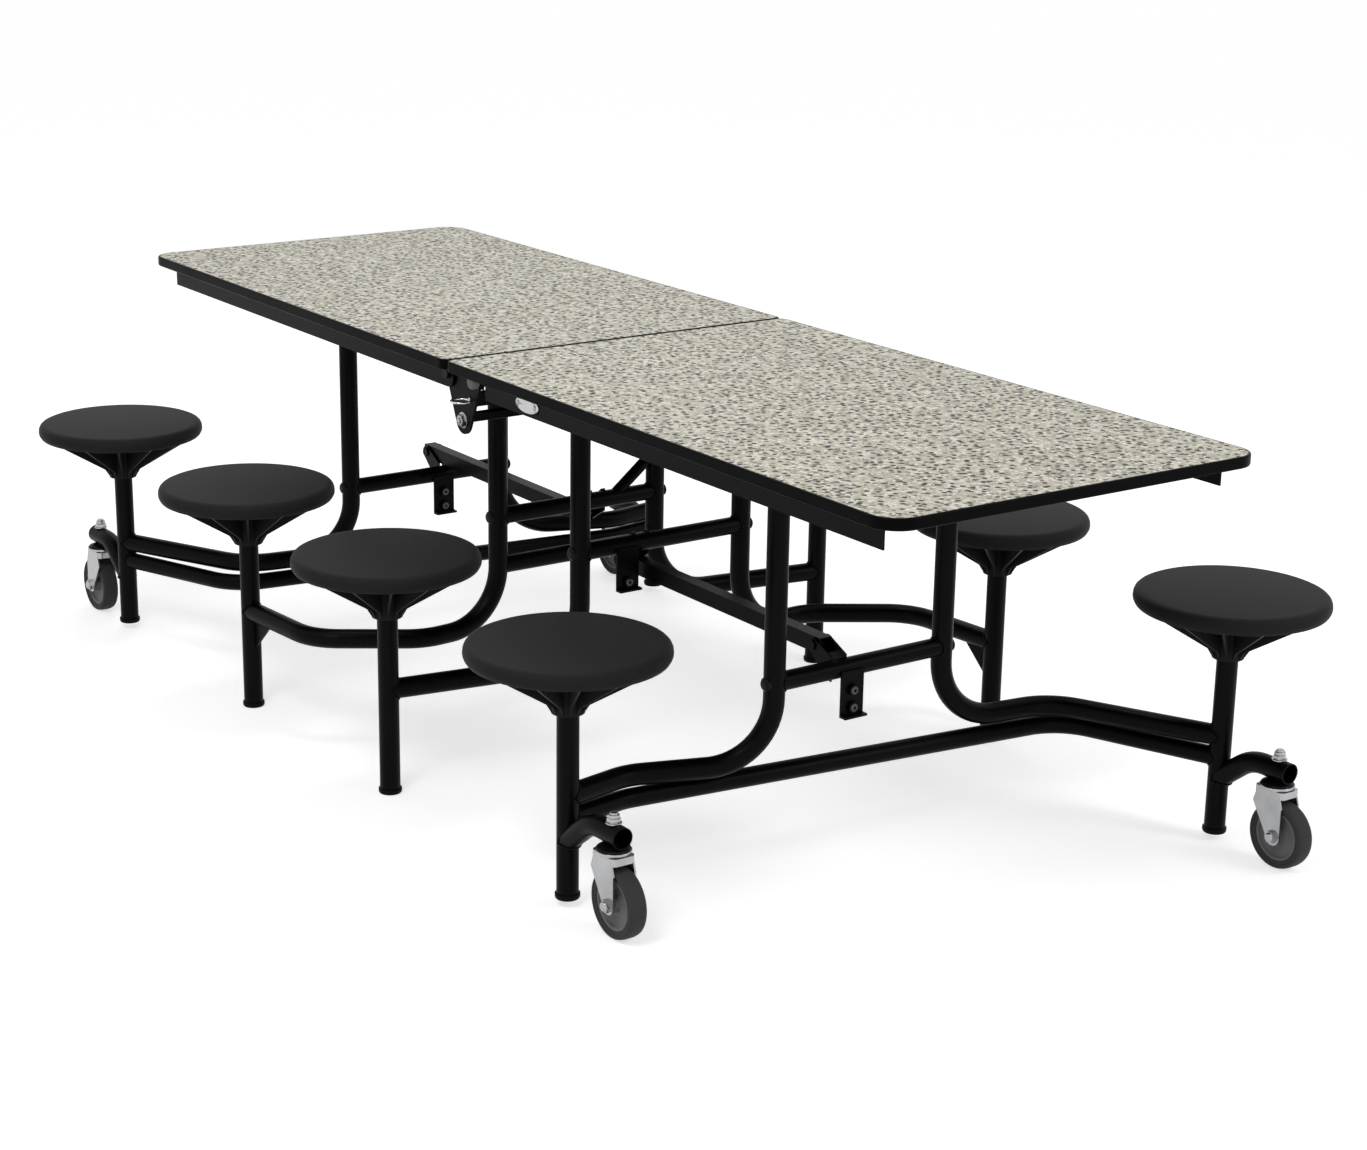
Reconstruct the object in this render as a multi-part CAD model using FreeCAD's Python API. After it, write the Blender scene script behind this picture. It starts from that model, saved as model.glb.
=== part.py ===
import FreeCAD, Part
import math
import os

# A folding cafeteria table with eight fixed stools, opened for use.
# X runs along the table, Y across it and Z up, in millimetres.
# The origin is on the floor under the middle of the seam between the two tops.
# The far half is the near half turned half a turn about Z.

os.makedirs("parts", exist_ok=True)
Vec = FreeCAD.Vector
UP = Vec(0, 0, 1)
ALONG = Vec(1, 0, 0)
ACROSS = Vec(0, 1, 0)
HALF_TURN = 180
FULL_TURN = 360

# Clearances and overruns shared by all pieces
overrun = 5.0
pivot_clearance = 0.05
link_clearance = 0.3
face_gap = 0.3
half_way = 0.5

# Tops, their edge trim and side rails
table_length = 2438.0
table_width = 736.6
table_height = 737.0
top_thickness = 19.0
seam_gap = 3.0
trim_thickness = 4.5
trim_round = 3.0
outer_corner_radius = 48.0
seam_corner_radius = 16.0
rail_inset = 33.0
rail_web = 3.0
rail_height = 40.0
rail_flange = 26.0
rail_end_x = 1165.0
short_rail_start_x = 84.0
rail_flange_start_x = 99.0

# Bent steel tubes of the frames
tube_radius = 18.0
tube_wall = 2.0
cross_tube_radius = 16.0
leg_bend_radius = 110.0
arm_bend_radius = 100.0

# Legs and their pivots under the tops
end_leg_x = 715.0
inner_leg_x = 140.0
leg_y = 176.0
leg_pivot_drop = 45.0
leg_above_pivot = 12.0
leg_pin_radius = 6.0
bracket_plate = 3.0
bracket_width = 44.0
bracket_drop = 44.0
bracket_base_reach = 24.0

# Stools: the fold gap lets a top swing down between the two rows of seats
fold_gap = 3.0
short_reach = -55.0
long_reach = 310.0
seat_radius = 163.0
seat_top_z = 438.0
seat_edge = 27.0
seat_wall = 4.5
seat_rim_round = 9.0
seat_hub_radius = 27.0
seat_hub_bottom_z = 323.0
post_top_z = 404.0
rib_count = 14
rib_thickness = 4.0
rib_knee_z = 340.0
rib_knee_radius = 36.0
rib_foot_z = 327.0
rib_outer_radius = 155.5
foot_cap_radius = 20.5
foot_cap_height = 9.0
foot_lift = 12.0

# End frame: runs to the stools and the cross tubes
end_run_z = 184.0
lower_tube_z = 146.0
mid_tube_z = 320.0
left_bend_back = 79.0
left_bend_out = 232.0
right_bend_ahead = 30.0
right_bend_out = 224.0
lower_left_bend_back = 75.0
lower_left_bend_out = 239.0
lower_right_bend_out = 249.0

# Inner frame: runs to the stools, cross tubes and the extra far tubes
inner_run_z = 190.0
first_bend_back = 15.0
first_bend_out = 169.0
second_bend_ahead = 95.0
second_bend_inset = 18.0
upper_tube_z = 395.0
extra_tube_z = 300.0
brace_radius = 11.0
brace_foot_y = 76.0
brace_top_z = 475.0
gusset_size = 52.0
gusset_plate = 5.0

# Hanging plates on the cross tubes
hanger_width = 46.0
hanger_plate = 4.0
end_hanger_y = -30.0
end_hanger_low_z = 241.0
inner_hanger_y = -87.0
inner_hanger_low_z = 316.0
hanger_bolt_radius = 6.0
hanger_flange = 12.0
hanger_bolt_inset = 16.0

# Links that keep the inner frames upright
link_y = 45.0
link_width = 25.0
link_height = 28.0
link_wall = 2.0
link_pin_radius = 5.0
near_link_offset = -50.0
near_link_z = 350.0
far_link_offset = 50.0
far_link_z = 356.0
ear_plate = 4.0
ear_radius = 13.0

# Centre hinge
hinge_pivot_x = 45.0
hinge_pivot_drop = 34.0
hinge_lobe_radius = 13.0
hinge_apex_drop = 77.0
hinge_apex_radius = 25.0
hinge_rail_gap = 2.0
hinge_plate = 5.0
hinge_pin_radius = 6.0
tie_rod_radius = 6.0
lug_plate = 4.0
lug_half_width = 12.0
lug_drop = 28.0
lug_base_reach = 26.0

# Latch on the left hinge plate
latch_block_x = 27.0
latch_block_drop = 35.0
latch_block_size = 22.0
latch_block_depth = 34.0
plunger_radius = 4.0
plunger_travel = 12.0
ring_radius = 17.0
ring_wire_radius = 1.8
knob_radius = 9.0
knob_length = 16.0
arm_length = 118.0
arm_width = 24.0
arm_plate = 4.0
arm_rise = 12.0

# Outriggers and casters
outrigger_start_z = 108.0
outrigger_end_z = 165.0
outrigger_flat_reach = 72.0
outrigger_reach = 155.0
outrigger_bend_radius = 80.0
outrigger_radius = 18.0
stem_reach = 130.0
stem_radius = 6.0
caster_trail = 16.0
wheel_radius = 57.0
tyre_width = 32.0
tyre_depth = 14.0
tyre_round = 7.0
hub_width = 34.0
hub_web = 14.0
hub_rim = 6.0
hub_boss_radius = 13.0
axle_radius = 5.0
fork_plate = 3.0
fork_gap = 37.0
fork_crown_reach = 31.0
fork_crown_round = 9.0
fork_crown_z = 124.0
fork_crown_thickness = 12.0
fork_shoulder_z = 108.0
fork_eye_radius = 15.0
raceway_radius = 29.0
fork_gap_to_raceway = 0.4

# Fasteners
nut_height = 8.0
nut_across = 19.0
bolt_head_height = 6.0
bolt_head_radius = 10.0
washer_height = 2.0
washer_radius = 13.0
rivet_head_radius = 9.0
rivet_head_height = 4.0
badge_x = 222.0
badge_drop = 39.0
badge_length = 70.0
badge_height = 26.0
badge_thickness = 1.5

# Sizes that follow from the ones above
top_underside_z = table_height - top_thickness
rail_bottom_z = top_underside_z - rail_height
rail_outer_y = table_width / 2 - rail_inset
rail_inner_y = rail_outer_y - rail_web
leg_pivot_z = table_height - leg_pivot_drop
leg_top_z = leg_pivot_z + leg_above_pivot
hinge_pivot_z = table_height - hinge_pivot_drop
hinge_apex_z = hinge_pivot_z - hinge_apex_drop
hinge_plate_y = rail_inner_y - hinge_rail_gap
latch_block_z = hinge_pivot_z - latch_block_drop
badge_z = table_height - badge_drop
stool_y = table_width / 2 + fold_gap + seat_radius
hub_outer_radius = wheel_radius - tyre_depth
axle_z = wheel_radius
stools = {
    "end_left": Vec(end_leg_x + short_reach, -stool_y, 0),
    "end_right": Vec(end_leg_x + long_reach, stool_y, 0),
    "inner_left": Vec(inner_leg_x + short_reach, -stool_y, 0),
    "inner_right": Vec(inner_leg_x + long_reach, stool_y, 0),
}
left_corner = Vec(end_leg_x - left_bend_back, -leg_y - left_bend_out, 0)
right_corner = Vec(end_leg_x + right_bend_ahead, leg_y + right_bend_out, 0)
lower_left_corner = Vec(end_leg_x - lower_left_bend_back, -leg_y - lower_left_bend_out, 0)
lower_right_corner = Vec(end_leg_x + right_bend_ahead, leg_y + lower_right_bend_out, 0)
inner_first_corner = Vec(inner_leg_x - first_bend_back, leg_y + first_bend_out, 0)
inner_second_corner = Vec(inner_leg_x + second_bend_ahead, stool_y - second_bend_inset, 0)


def at_height(place, z):
    return Vec(place.x, place.y, z)


def rod(start, end, radius):
    return Part.makeCylinder(radius, (end - start).Length, start, end - start)


def block(low, high):
    size = high - low
    return Part.makeBox(size.x, size.y, size.z, low)


def centre_line(points, radii):
    edges = []
    start = points[0]
    for before, corner, after, radius in zip(points, points[1:], points[2:], radii):
        back = (before - corner).normalize()
        ahead = (after - corner).normalize()
        half = back.getAngle(ahead) / 2
        set_back = radius / math.tan(half)
        middle_way = (back + ahead).normalize() * (radius / math.sin(half) - radius)
        first = corner + back * set_back
        last = corner + ahead * set_back
        edges.append(Part.LineSegment(start, first).toShape())
        edges.append(Part.Arc(first, corner + middle_way, last).toShape())
        start = last
    edges.append(Part.LineSegment(start, points[-1]).toShape())
    return Part.Wire(edges)


def bar(points, radii, radius):
    line = centre_line(points, radii)
    circle = Part.makeCircle(radius, points[0], points[1] - points[0])
    return line.makePipeShell([Part.Wire(circle)], True, False)


def tube(points, radii, radius):
    return bar(points, radii, radius).cut(bar(points, radii, radius - tube_wall))


def plate_from(points, thickness_way):
    face = Part.Face(Part.makePolygon(points + [points[0]]))
    return face.extrude(thickness_way)


def lobed_plate(lobes, depth_way):
    pieces = [Part.makeCylinder(radius, depth_way.Length, place, depth_way) for place, radius in lobes]
    count = len(lobes)
    corners = []
    for number, (place, radius) in enumerate(lobes):
        next_place, next_radius = lobes[(number + 1) % count]
        run = next_place - place
        lean = math.acos((radius - next_radius) / run.Length)
        heading = math.atan2(run.z, run.x)
        side = Vec(math.cos(heading - lean), 0, math.sin(heading - lean))
        corners.append(place + side * radius)
        corners.append(next_place + side * next_radius)
    pieces.append(plate_from(corners, depth_way))
    return pieces[0].multiFuse(pieces[1:]).removeSplitter()


def hexagon(centre, way, height, across):
    corner = across / math.sqrt(3)
    side = ALONG
    points = []
    for number in range(6):
        turn = FreeCAD.Rotation(way, number * FULL_TURN / 6)
        points.append(centre + turn.multVec(side) * corner)
    return plate_from(points, way * height)


def turned(shape):
    copy = shape.copy()
    copy.rotate(Vec(0, 0, 0), UP, HALF_TURN)
    return copy


def group(shapes):
    solids = []
    for shape in shapes:
        solids += shape.Solids
    return Part.makeCompound(solids)


nodes = {}


def keep(name, shapes):
    nodes[name] = group(shapes)
    nodes[name].exportStep("parts/" + name + ".step")


def keep_pair(name, shapes):
    keep("near_" + name, shapes)
    keep("far_" + name, [turned(shape) for shape in shapes])


# Tops: a laminated board in a moulded edge

def outline(low_x, high_x, half_width, seam_radius, corner_radius):
    points = [(low_x, -half_width, seam_radius), (high_x, -half_width, corner_radius),
              (high_x, half_width, corner_radius), (low_x, half_width, seam_radius)]
    edges = []
    ends = []
    for number, (x, y, radius) in enumerate(points):
        before = points[number - 1]
        after = points[(number + 1) % len(points)]
        corner = Vec(x, y, top_underside_z)
        back = (Vec(before[0], before[1], top_underside_z) - corner).normalize()
        ahead = (Vec(after[0], after[1], top_underside_z) - corner).normalize()
        inner = corner + (back + ahead) * radius
        middle = inner - (back + ahead).normalize() * radius
        ends.append((corner + back * radius, middle, corner + ahead * radius))
    for number, (first, middle, last) in enumerate(ends):
        edges.append(Part.Arc(first, middle, last).toShape())
        edges.append(Part.LineSegment(last, ends[(number + 1) % len(ends)][0]).toShape())
    return Part.Face(Part.Wire(edges))


seam_x = seam_gap / 2
end_x = table_length / 2
half_width = table_width / 2
board = outline(seam_x + trim_thickness, end_x - trim_thickness, half_width - trim_thickness,
                seam_corner_radius - trim_thickness, outer_corner_radius - trim_thickness)
top_panel = board.extrude(UP * top_thickness)
edged = outline(seam_x, end_x, half_width, seam_corner_radius, outer_corner_radius)
edged = edged.extrude(UP * top_thickness)
rim_edges = [edge for edge in edged.Edges if abs(edge.tangentAt(edge.FirstParameter).z) < half_way]
edge_trim = edged.makeFillet(trim_round, rim_edges).cut(top_panel)
keep_pair("top_panel", [top_panel])
keep_pair("edge_trim", [edge_trim])


# Side rails: folded steel angles screwed under the tops

def side_rail(start_x, side, rounded):
    low = Vec(start_x, rail_inner_y, rail_bottom_z)
    high = Vec(rail_end_x, rail_outer_y, top_underside_z)
    web = block(low, high)
    if rounded:
        nose_z = (rail_bottom_z + top_underside_z) / 2
        nose = rod(Vec(hinge_pivot_x, rail_inner_y, nose_z), Vec(hinge_pivot_x, rail_outer_y, nose_z),
                   rail_height / 2)
        hole = rod(Vec(hinge_pivot_x, rail_inner_y - overrun, hinge_pivot_z),
                   Vec(hinge_pivot_x, rail_outer_y + overrun, hinge_pivot_z), hinge_pin_radius)
        web = web.fuse(nose).cut(hole)
    flange_low = Vec(rail_flange_start_x, rail_inner_y - rail_flange, top_underside_z - rail_web)
    flange = block(flange_low, Vec(rail_end_x, rail_inner_y, top_underside_z))
    rail = web.fuse(flange).removeSplitter()
    if side < 0:
        rail = rail.mirror(Vec(0, 0, 0), ACROSS)
    return rail


badge_low = Vec(badge_x - badge_length / 2, -rail_outer_y - badge_thickness, badge_z - badge_height / 2)
badge_high = Vec(badge_x + badge_length / 2, -rail_outer_y, badge_z + badge_height / 2)
badge = block(badge_low, badge_high)
badge = badge.makeFillet(badge_height / 2 - badge_thickness,
                         [edge for edge in badge.Edges if abs(edge.tangentAt(0).y) > half_way])
left_rail = side_rail(short_rail_start_x, -1, False)
right_rail = side_rail(hinge_pivot_x, 1, True)
keep_pair("side_rails", [left_rail, right_rail, badge])


# Leg brackets: folded channels under the tops, with a pin through each leg

def leg_bracket(leg_x, side):
    centre = Vec(leg_x, side * leg_y, 0)
    inner = tube_radius + face_gap
    low_z = top_underside_z - bracket_drop
    half = bracket_width / 2
    cheeks = []
    for way in (-1, 1):
        near_y = centre.y + way * inner
        far_y = centre.y + way * (inner + bracket_plate)
        cheek = block(Vec(centre.x - half, min(near_y, far_y), low_z),
                      Vec(centre.x + half, max(near_y, far_y), top_underside_z))
        foot_y = centre.y + way * (inner + bracket_plate + bracket_base_reach)
        foot = block(Vec(centre.x - half, min(far_y, foot_y), top_underside_z - bracket_plate),
                     Vec(centre.x + half, max(far_y, foot_y), top_underside_z))
        cheeks.append(cheek.fuse(foot))
    reach = inner + bracket_plate
    hole = rod(Vec(centre.x, centre.y - reach - overrun, leg_pivot_z),
               Vec(centre.x, centre.y + reach + overrun, leg_pivot_z), leg_pin_radius)
    return [cheek.cut(hole).removeSplitter() for cheek in cheeks]


def leg_pin(leg_x, side):
    reach = tube_radius + face_gap + bracket_plate
    low = Vec(leg_x, side * leg_y - reach, leg_pivot_z)
    high = Vec(leg_x, side * leg_y + reach, leg_pivot_z)
    shank = rod(low, high, leg_pin_radius)
    head = rod(low - ACROSS * bolt_head_height, low, bolt_head_radius)
    nut = hexagon(high, ACROSS, nut_height, nut_across)
    return shank.fuse(head).fuse(nut)


# Hinge lugs: small angles that hold the centre hinge bolts under each top

def hinge_lug(side):
    outer_y = hinge_plate_y - hinge_plate - face_gap
    low_z = top_underside_z - lug_drop
    ear = block(Vec(hinge_pivot_x - lug_half_width, outer_y - lug_plate, low_z),
                Vec(hinge_pivot_x + lug_half_width, outer_y, top_underside_z))
    base = block(Vec(hinge_pivot_x - lug_half_width, outer_y - lug_base_reach, top_underside_z - lug_plate),
                 Vec(hinge_pivot_x + lug_half_width, outer_y, top_underside_z))
    hole = rod(Vec(hinge_pivot_x, outer_y - lug_plate - overrun, hinge_pivot_z),
               Vec(hinge_pivot_x, outer_y + overrun, hinge_pivot_z), hinge_pin_radius)
    lug = ear.fuse(base).cut(hole).removeSplitter()
    if side < 0:
        lug = lug.mirror(Vec(0, 0, 0), ACROSS)
    return lug


def hinge_bolt(side):
    inner_y = hinge_plate_y - hinge_plate - face_gap - lug_plate
    outer_y = hinge_plate_y + face_gap
    if side > 0:
        outer_y = rail_outer_y
    shank = rod(Vec(hinge_pivot_x, inner_y, hinge_pivot_z), Vec(hinge_pivot_x, outer_y, hinge_pivot_z),
                hinge_pin_radius)
    head = rod(Vec(hinge_pivot_x, outer_y, hinge_pivot_z),
               Vec(hinge_pivot_x, outer_y + bolt_head_height, hinge_pivot_z), bolt_head_radius)
    nut = hexagon(Vec(hinge_pivot_x, inner_y, hinge_pivot_z), -ACROSS, nut_height, nut_across)
    bolt = shank.fuse(head).fuse(nut)
    if side < 0:
        bolt = bolt.mirror(Vec(0, 0, 0), ACROSS)
    return bolt


brackets = []
pins = []
for leg_x in (end_leg_x, inner_leg_x):
    for side in (-1, 1):
        brackets += leg_bracket(leg_x, side)
        pins.append(leg_pin(leg_x, side))
brackets += [hinge_lug(-1), hinge_lug(1)]
pins += [hinge_bolt(-1), hinge_bolt(1)]
keep_pair("leg_brackets", brackets)
keep_pair("pivot_pins", pins)


# Frames: bent tubes, coped where one meets another

def post_body(place, foot_z):
    return rod(at_height(place, foot_z), at_height(place, post_top_z), tube_radius)


def post(place, foot_z):
    bottom = foot_z + foot_cap_height / 2
    outer = rod(at_height(place, bottom), at_height(place, post_top_z), tube_radius)
    inner = rod(at_height(place, bottom), at_height(place, post_top_z), tube_radius - tube_wall)
    return outer.cut(inner)


def foot_cap(place, foot_z):
    top = foot_z + foot_cap_height
    cap = rod(at_height(place, foot_z), at_height(place, top), foot_cap_radius)
    cap = cap.makeFillet(foot_cap_height / 4, [cap.Edges[0], cap.Edges[2]])
    bottom = at_height(place, foot_z + foot_cap_height / 2)
    return cap.cut(rod(bottom, at_height(place, top + overrun), tube_radius))


def pin_hole(leg_x, side):
    reach = tube_radius + overrun
    return rod(Vec(leg_x, side * leg_y - reach, leg_pivot_z), Vec(leg_x, side * leg_y + reach, leg_pivot_z),
               leg_pin_radius + pivot_clearance)


def leg(leg_x, side, run_z, corners, radii, place, foot_z):
    top = Vec(leg_x, side * leg_y, leg_top_z)
    bend = Vec(leg_x, side * leg_y, run_z)
    points = [top, bend] + [at_height(corner, run_z) for corner in corners] + [at_height(place, run_z)]
    return tube(points, radii, tube_radius).cut(post_body(place, foot_z)).cut(pin_hole(leg_x, side))


def cross_tube(leg_x, z):
    reach = leg_y
    low = Vec(leg_x, -reach, z)
    high = Vec(leg_x, reach, z)
    pipe = rod(low, high, cross_tube_radius).cut(rod(low, high, cross_tube_radius - tube_wall))
    for side in (-1, 1):
        pipe = pipe.cut(rod(Vec(leg_x, side * leg_y, 0), Vec(leg_x, side * leg_y, leg_top_z), tube_radius))
    return pipe


def side_bolt(leg_x, side, z):
    face_y = side * (leg_y + tube_radius)
    way = ACROSS * side
    shank = rod(Vec(leg_x, side * (leg_y - tube_radius), z), Vec(leg_x, face_y, z), hanger_bolt_radius)
    washer = rod(Vec(leg_x, face_y, z), Vec(leg_x, face_y, z) + way * washer_height, washer_radius)
    head = hexagon(Vec(leg_x, face_y, z) + way * washer_height, way, nut_height, nut_across)
    return shank.fuse(washer).fuse(head)


# Stool seats: one moulded shell with a hub and ribs underneath

def seat(place):
    low_edge = seat_top_z - seat_edge
    inner_radius = seat_radius - seat_wall
    soffit = seat_top_z - seat_wall
    profile = [Vec(0, 0, seat_top_z), Vec(seat_radius - seat_rim_round, 0, seat_top_z)]
    edges = [Part.LineSegment(*profile).toShape()]
    slant = seat_rim_round * math.sin(math.pi / 4)
    turn_middle = Vec(seat_radius - seat_rim_round + slant, 0, seat_top_z - seat_rim_round + slant)
    turn_end = Vec(seat_radius, 0, seat_top_z - seat_rim_round)
    edges.append(Part.Arc(profile[1], turn_middle, turn_end).toShape())
    line = [turn_end, Vec(seat_radius, 0, low_edge), Vec(inner_radius, 0, low_edge),
            Vec(inner_radius, 0, soffit), Vec(seat_hub_radius, 0, soffit),
            Vec(seat_hub_radius, 0, seat_hub_bottom_z), Vec(tube_radius, 0, seat_hub_bottom_z),
            Vec(tube_radius, 0, post_top_z), Vec(0, 0, post_top_z), Vec(0, 0, seat_top_z)]
    edges += [Part.LineSegment(first, last).toShape() for first, last in zip(line, line[1:])]
    shell = Part.Face(Part.Wire(edges)).revolve(Vec(0, 0, 0), UP, FULL_TURN)
    rib_start = seat_hub_radius - rib_thickness / 2
    rib_points = [Vec(rib_start, -rib_thickness / 2, rib_foot_z),
                  Vec(seat_hub_radius, -rib_thickness / 2, rib_foot_z),
                  Vec(rib_knee_radius, -rib_thickness / 2, rib_knee_z),
                  Vec(rib_outer_radius, -rib_thickness / 2, low_edge + seat_wall / 2),
                  Vec(inner_radius + seat_wall / 2, -rib_thickness / 2, low_edge + seat_wall / 2),
                  Vec(inner_radius + seat_wall / 2, -rib_thickness / 2, soffit + seat_wall / 2),
                  Vec(rib_start, -rib_thickness / 2, soffit + seat_wall / 2)]
    rib = plate_from(rib_points, ACROSS * rib_thickness)
    ribs = []
    for number in range(rib_count):
        copy = rib.copy()
        copy.rotate(Vec(0, 0, 0), UP, number * FULL_TURN / rib_count)
        ribs.append(copy)
    whole = shell.multiFuse(ribs)
    whole.translate(at_height(place, 0))
    return whole


# End frame
left = stools["end_left"]
right = stools["end_right"]
mid_holes = [side_bolt(end_leg_x, side, mid_tube_z) for side in (-1, 1)]
end_legs = [
    leg(end_leg_x, -1, end_run_z, [left_corner], [leg_bend_radius, arm_bend_radius], left, foot_lift),
    leg(end_leg_x, 1, end_run_z, [right_corner], [leg_bend_radius, arm_bend_radius], right, foot_lift),
]
end_legs = [shape.cut(mid_holes[number]) for number, shape in enumerate(end_legs)]
keep_pair("end_legs", end_legs)
lower_route = (left, lower_left_corner, lower_right_corner, right)
lower_points = [at_height(place, lower_tube_z) for place in lower_route]
lower_tube = tube(lower_points, [arm_bend_radius] * 2, cross_tube_radius + face_gap)
for place in (left, right):
    lower_tube = lower_tube.cut(post_body(place, foot_lift))
keep_pair("end_lower_tube", [lower_tube])
keep_pair("end_cross_tube", [cross_tube(end_leg_x, mid_tube_z)])
keep_pair("end_posts", [post(left, foot_lift), post(right, foot_lift)])
keep_pair("end_seats", [seat(left), seat(right)])


# Outriggers: upswept tubes that carry the casters

def outrigger(place):
    points = [at_height(place, outrigger_start_z),
              Vec(place.x + outrigger_flat_reach, place.y, outrigger_end_z),
              Vec(place.x + outrigger_reach, place.y, outrigger_end_z)]
    pipe = tube(points, [outrigger_bend_radius], outrigger_radius).cut(post_body(place, foot_lift))
    stem = Vec(place.x + stem_reach, place.y, 0)
    return pipe.cut(rod(stem, at_height(stem, table_height), stem_radius + pivot_clearance))


def caster_stem(place):
    stem = Vec(place.x + stem_reach, place.y, 0)
    raceway_top = outrigger_end_z - outrigger_radius
    raceway_low = fork_crown_z + fork_crown_thickness + fork_gap_to_raceway
    rivet_top = at_height(stem, fork_crown_z - face_gap)
    stem_top = outrigger_end_z + outrigger_radius + washer_height + 2 * nut_height
    raceway = rod(at_height(stem, raceway_low), at_height(stem, raceway_top), raceway_radius)
    shank = rod(rivet_top, at_height(stem, stem_top), stem_radius)
    rivet = rod(rivet_top - UP * rivet_head_height, rivet_top, rivet_head_radius)
    washer_low = at_height(stem, outrigger_end_z + outrigger_radius)
    washer = rod(washer_low, washer_low + UP * washer_height, washer_radius)
    nut = hexagon(washer_low + UP * washer_height, UP, nut_height, nut_across)
    return shank.fuse(raceway).fuse(rivet).fuse(washer).fuse(nut)


keep_pair("end_outriggers", [outrigger(left), outrigger(right)])
end_fittings = [foot_cap(left, foot_lift), foot_cap(right, foot_lift), caster_stem(left), caster_stem(right)]
keep_pair("end_fittings", end_fittings + mid_holes)


# Links and their brackets: ears welded under a cross tube, with a pin

def link_ears(leg_x, side, offset, pivot_z, tube_z):
    ears = []
    pivot = Vec(leg_x + offset, side * link_y, pivot_z)
    collar = Vec(leg_x, side * link_y, tube_z)
    inner = link_width / 2 + face_gap
    for way in (-1, 1):
        shift = ACROSS * (way * inner if way > 0 else way * (inner + ear_plate))
        lobes = [(pivot + shift, ear_radius), (collar + shift, cross_tube_radius + ear_plate)]
        ear = lobed_plate(lobes, ACROSS * ear_plate)
        hole = rod(pivot - ACROSS * link_width, pivot + ACROSS * link_width, link_pin_radius)
        body = rod(collar - ACROSS * link_width, collar + ACROSS * link_width, cross_tube_radius)
        behind_high = Vec(2 * cross_tube_radius, link_width, 2 * link_width)
        behind = block(Vec(0, -link_width, -link_width), behind_high)
        if offset > 0:
            behind.rotate(Vec(0, 0, 0), UP, HALF_TURN)
        behind.translate(collar)
        ears.append(ear.cut(hole).cut(body).cut(behind))
    reach = inner + ear_plate
    pin = rod(pivot - ACROSS * reach, pivot + ACROSS * reach, link_pin_radius)
    head = rod(pivot + ACROSS * reach, pivot + ACROSS * (reach + bolt_head_height / 2), rivet_head_radius)
    tail = rod(pivot - ACROSS * (reach + bolt_head_height / 2), pivot - ACROSS * reach, rivet_head_radius)
    return ears + [pin.fuse(head).fuse(tail)]


def link(side, first_x, last_x, pivot_z):
    reach = link_height / 2
    low = Vec(min(first_x, last_x) - reach, side * link_y - link_width / 2, pivot_z - reach)
    high = Vec(max(first_x, last_x) + reach, side * link_y + link_width / 2, pivot_z + reach)
    body = block(low, high)
    inset = Vec(-overrun, link_wall, link_wall)
    body = body.cut(block(low + inset, high - inset))
    for x, gap in ((first_x, link_clearance), (last_x, pivot_clearance)):
        centre = Vec(x, side * link_y, pivot_z)
        reach_way = ACROSS * link_width
        body = body.cut(rod(centre - reach_way, centre + reach_way, link_pin_radius + gap))
    return body


near_spots = [inner_leg_x + near_link_offset, end_leg_x + near_link_offset]
far_spots = [-inner_leg_x - far_link_offset, -end_leg_x - far_link_offset]
keep("near_end_link_bracket", link_ears(end_leg_x, -1, near_link_offset, near_link_z, mid_tube_z))
keep("far_end_link_bracket", link_ears(-end_leg_x, 1, -far_link_offset, far_link_z, mid_tube_z))
keep("near_inner_link_bracket", link_ears(inner_leg_x, -1, near_link_offset, near_link_z, upper_tube_z))
keep("far_inner_link_bracket", link_ears(-inner_leg_x, 1, -far_link_offset, far_link_z, upper_tube_z))
keep("near_link", [link(-1, near_spots[0], near_spots[1], near_link_z)])
keep("far_link", [link(1, far_spots[0], far_spots[1], far_link_z)])


# Inner frame: legs bent straight into the stool arms, with gussets at the long arms

def gusset(place, corner, run_z):
    way = (at_height(corner, 0) - at_height(place, 0)).normalize()
    side = UP.cross(way) * (gusset_plate / 2)
    bottom = at_height(place, run_z - tube_radius)
    inner = bottom + way * (tube_radius - tube_wall) - side
    low = inner - UP * gusset_size
    out = inner + way * gusset_size
    up = UP * tube_radius
    points = [inner + up, low, out, out + up]
    plate = plate_from(points, side * 2).cut(post_body(place, 0))
    return plate


left = stools["inner_left"]
right = stools["inner_right"]
arm_corners = [inner_first_corner, inner_second_corner]
side_holes = [side_bolt(inner_leg_x, side, upper_tube_z) for side in (-1, 1)]
inner_arms = [
    leg(inner_leg_x, -1, inner_run_z, [], [leg_bend_radius], left, 0),
    leg(inner_leg_x, 1, inner_run_z, arm_corners, [leg_bend_radius] + [arm_bend_radius] * 2, right, 0),
]
inner_arms = [shape.cut(side_holes[number]) for number, shape in enumerate(inner_arms)]
long_arm = bar([at_height(inner_second_corner, inner_run_z), at_height(right, inner_run_z)], [], tube_radius)
web = gusset(right, inner_second_corner, inner_run_z).cut(long_arm)
keep_pair("inner_arms", inner_arms + [web])
keep_pair("inner_cross_tube", [cross_tube(inner_leg_x, upper_tube_z)])
keep_pair("inner_posts", [post(left, 0), post(right, 0)])
keep_pair("inner_seats", [seat(left), seat(right)])
keep_pair("inner_fittings", [foot_cap(left, 0), foot_cap(right, 0)] + side_holes)
brace_top = Vec(inner_leg_x, -leg_y, brace_top_z)
brace_foot = Vec(inner_leg_x, -brace_foot_y, upper_tube_z)
brace = rod(brace_foot, brace_top, brace_radius)
brace = brace.cut(rod(brace_foot, brace_top, brace_radius - tube_wall))
leg_core = rod(Vec(inner_leg_x, -leg_y, 0), Vec(inner_leg_x, -leg_y, leg_top_z), tube_radius)
cross_start = Vec(inner_leg_x, -leg_y, upper_tube_z)
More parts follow.
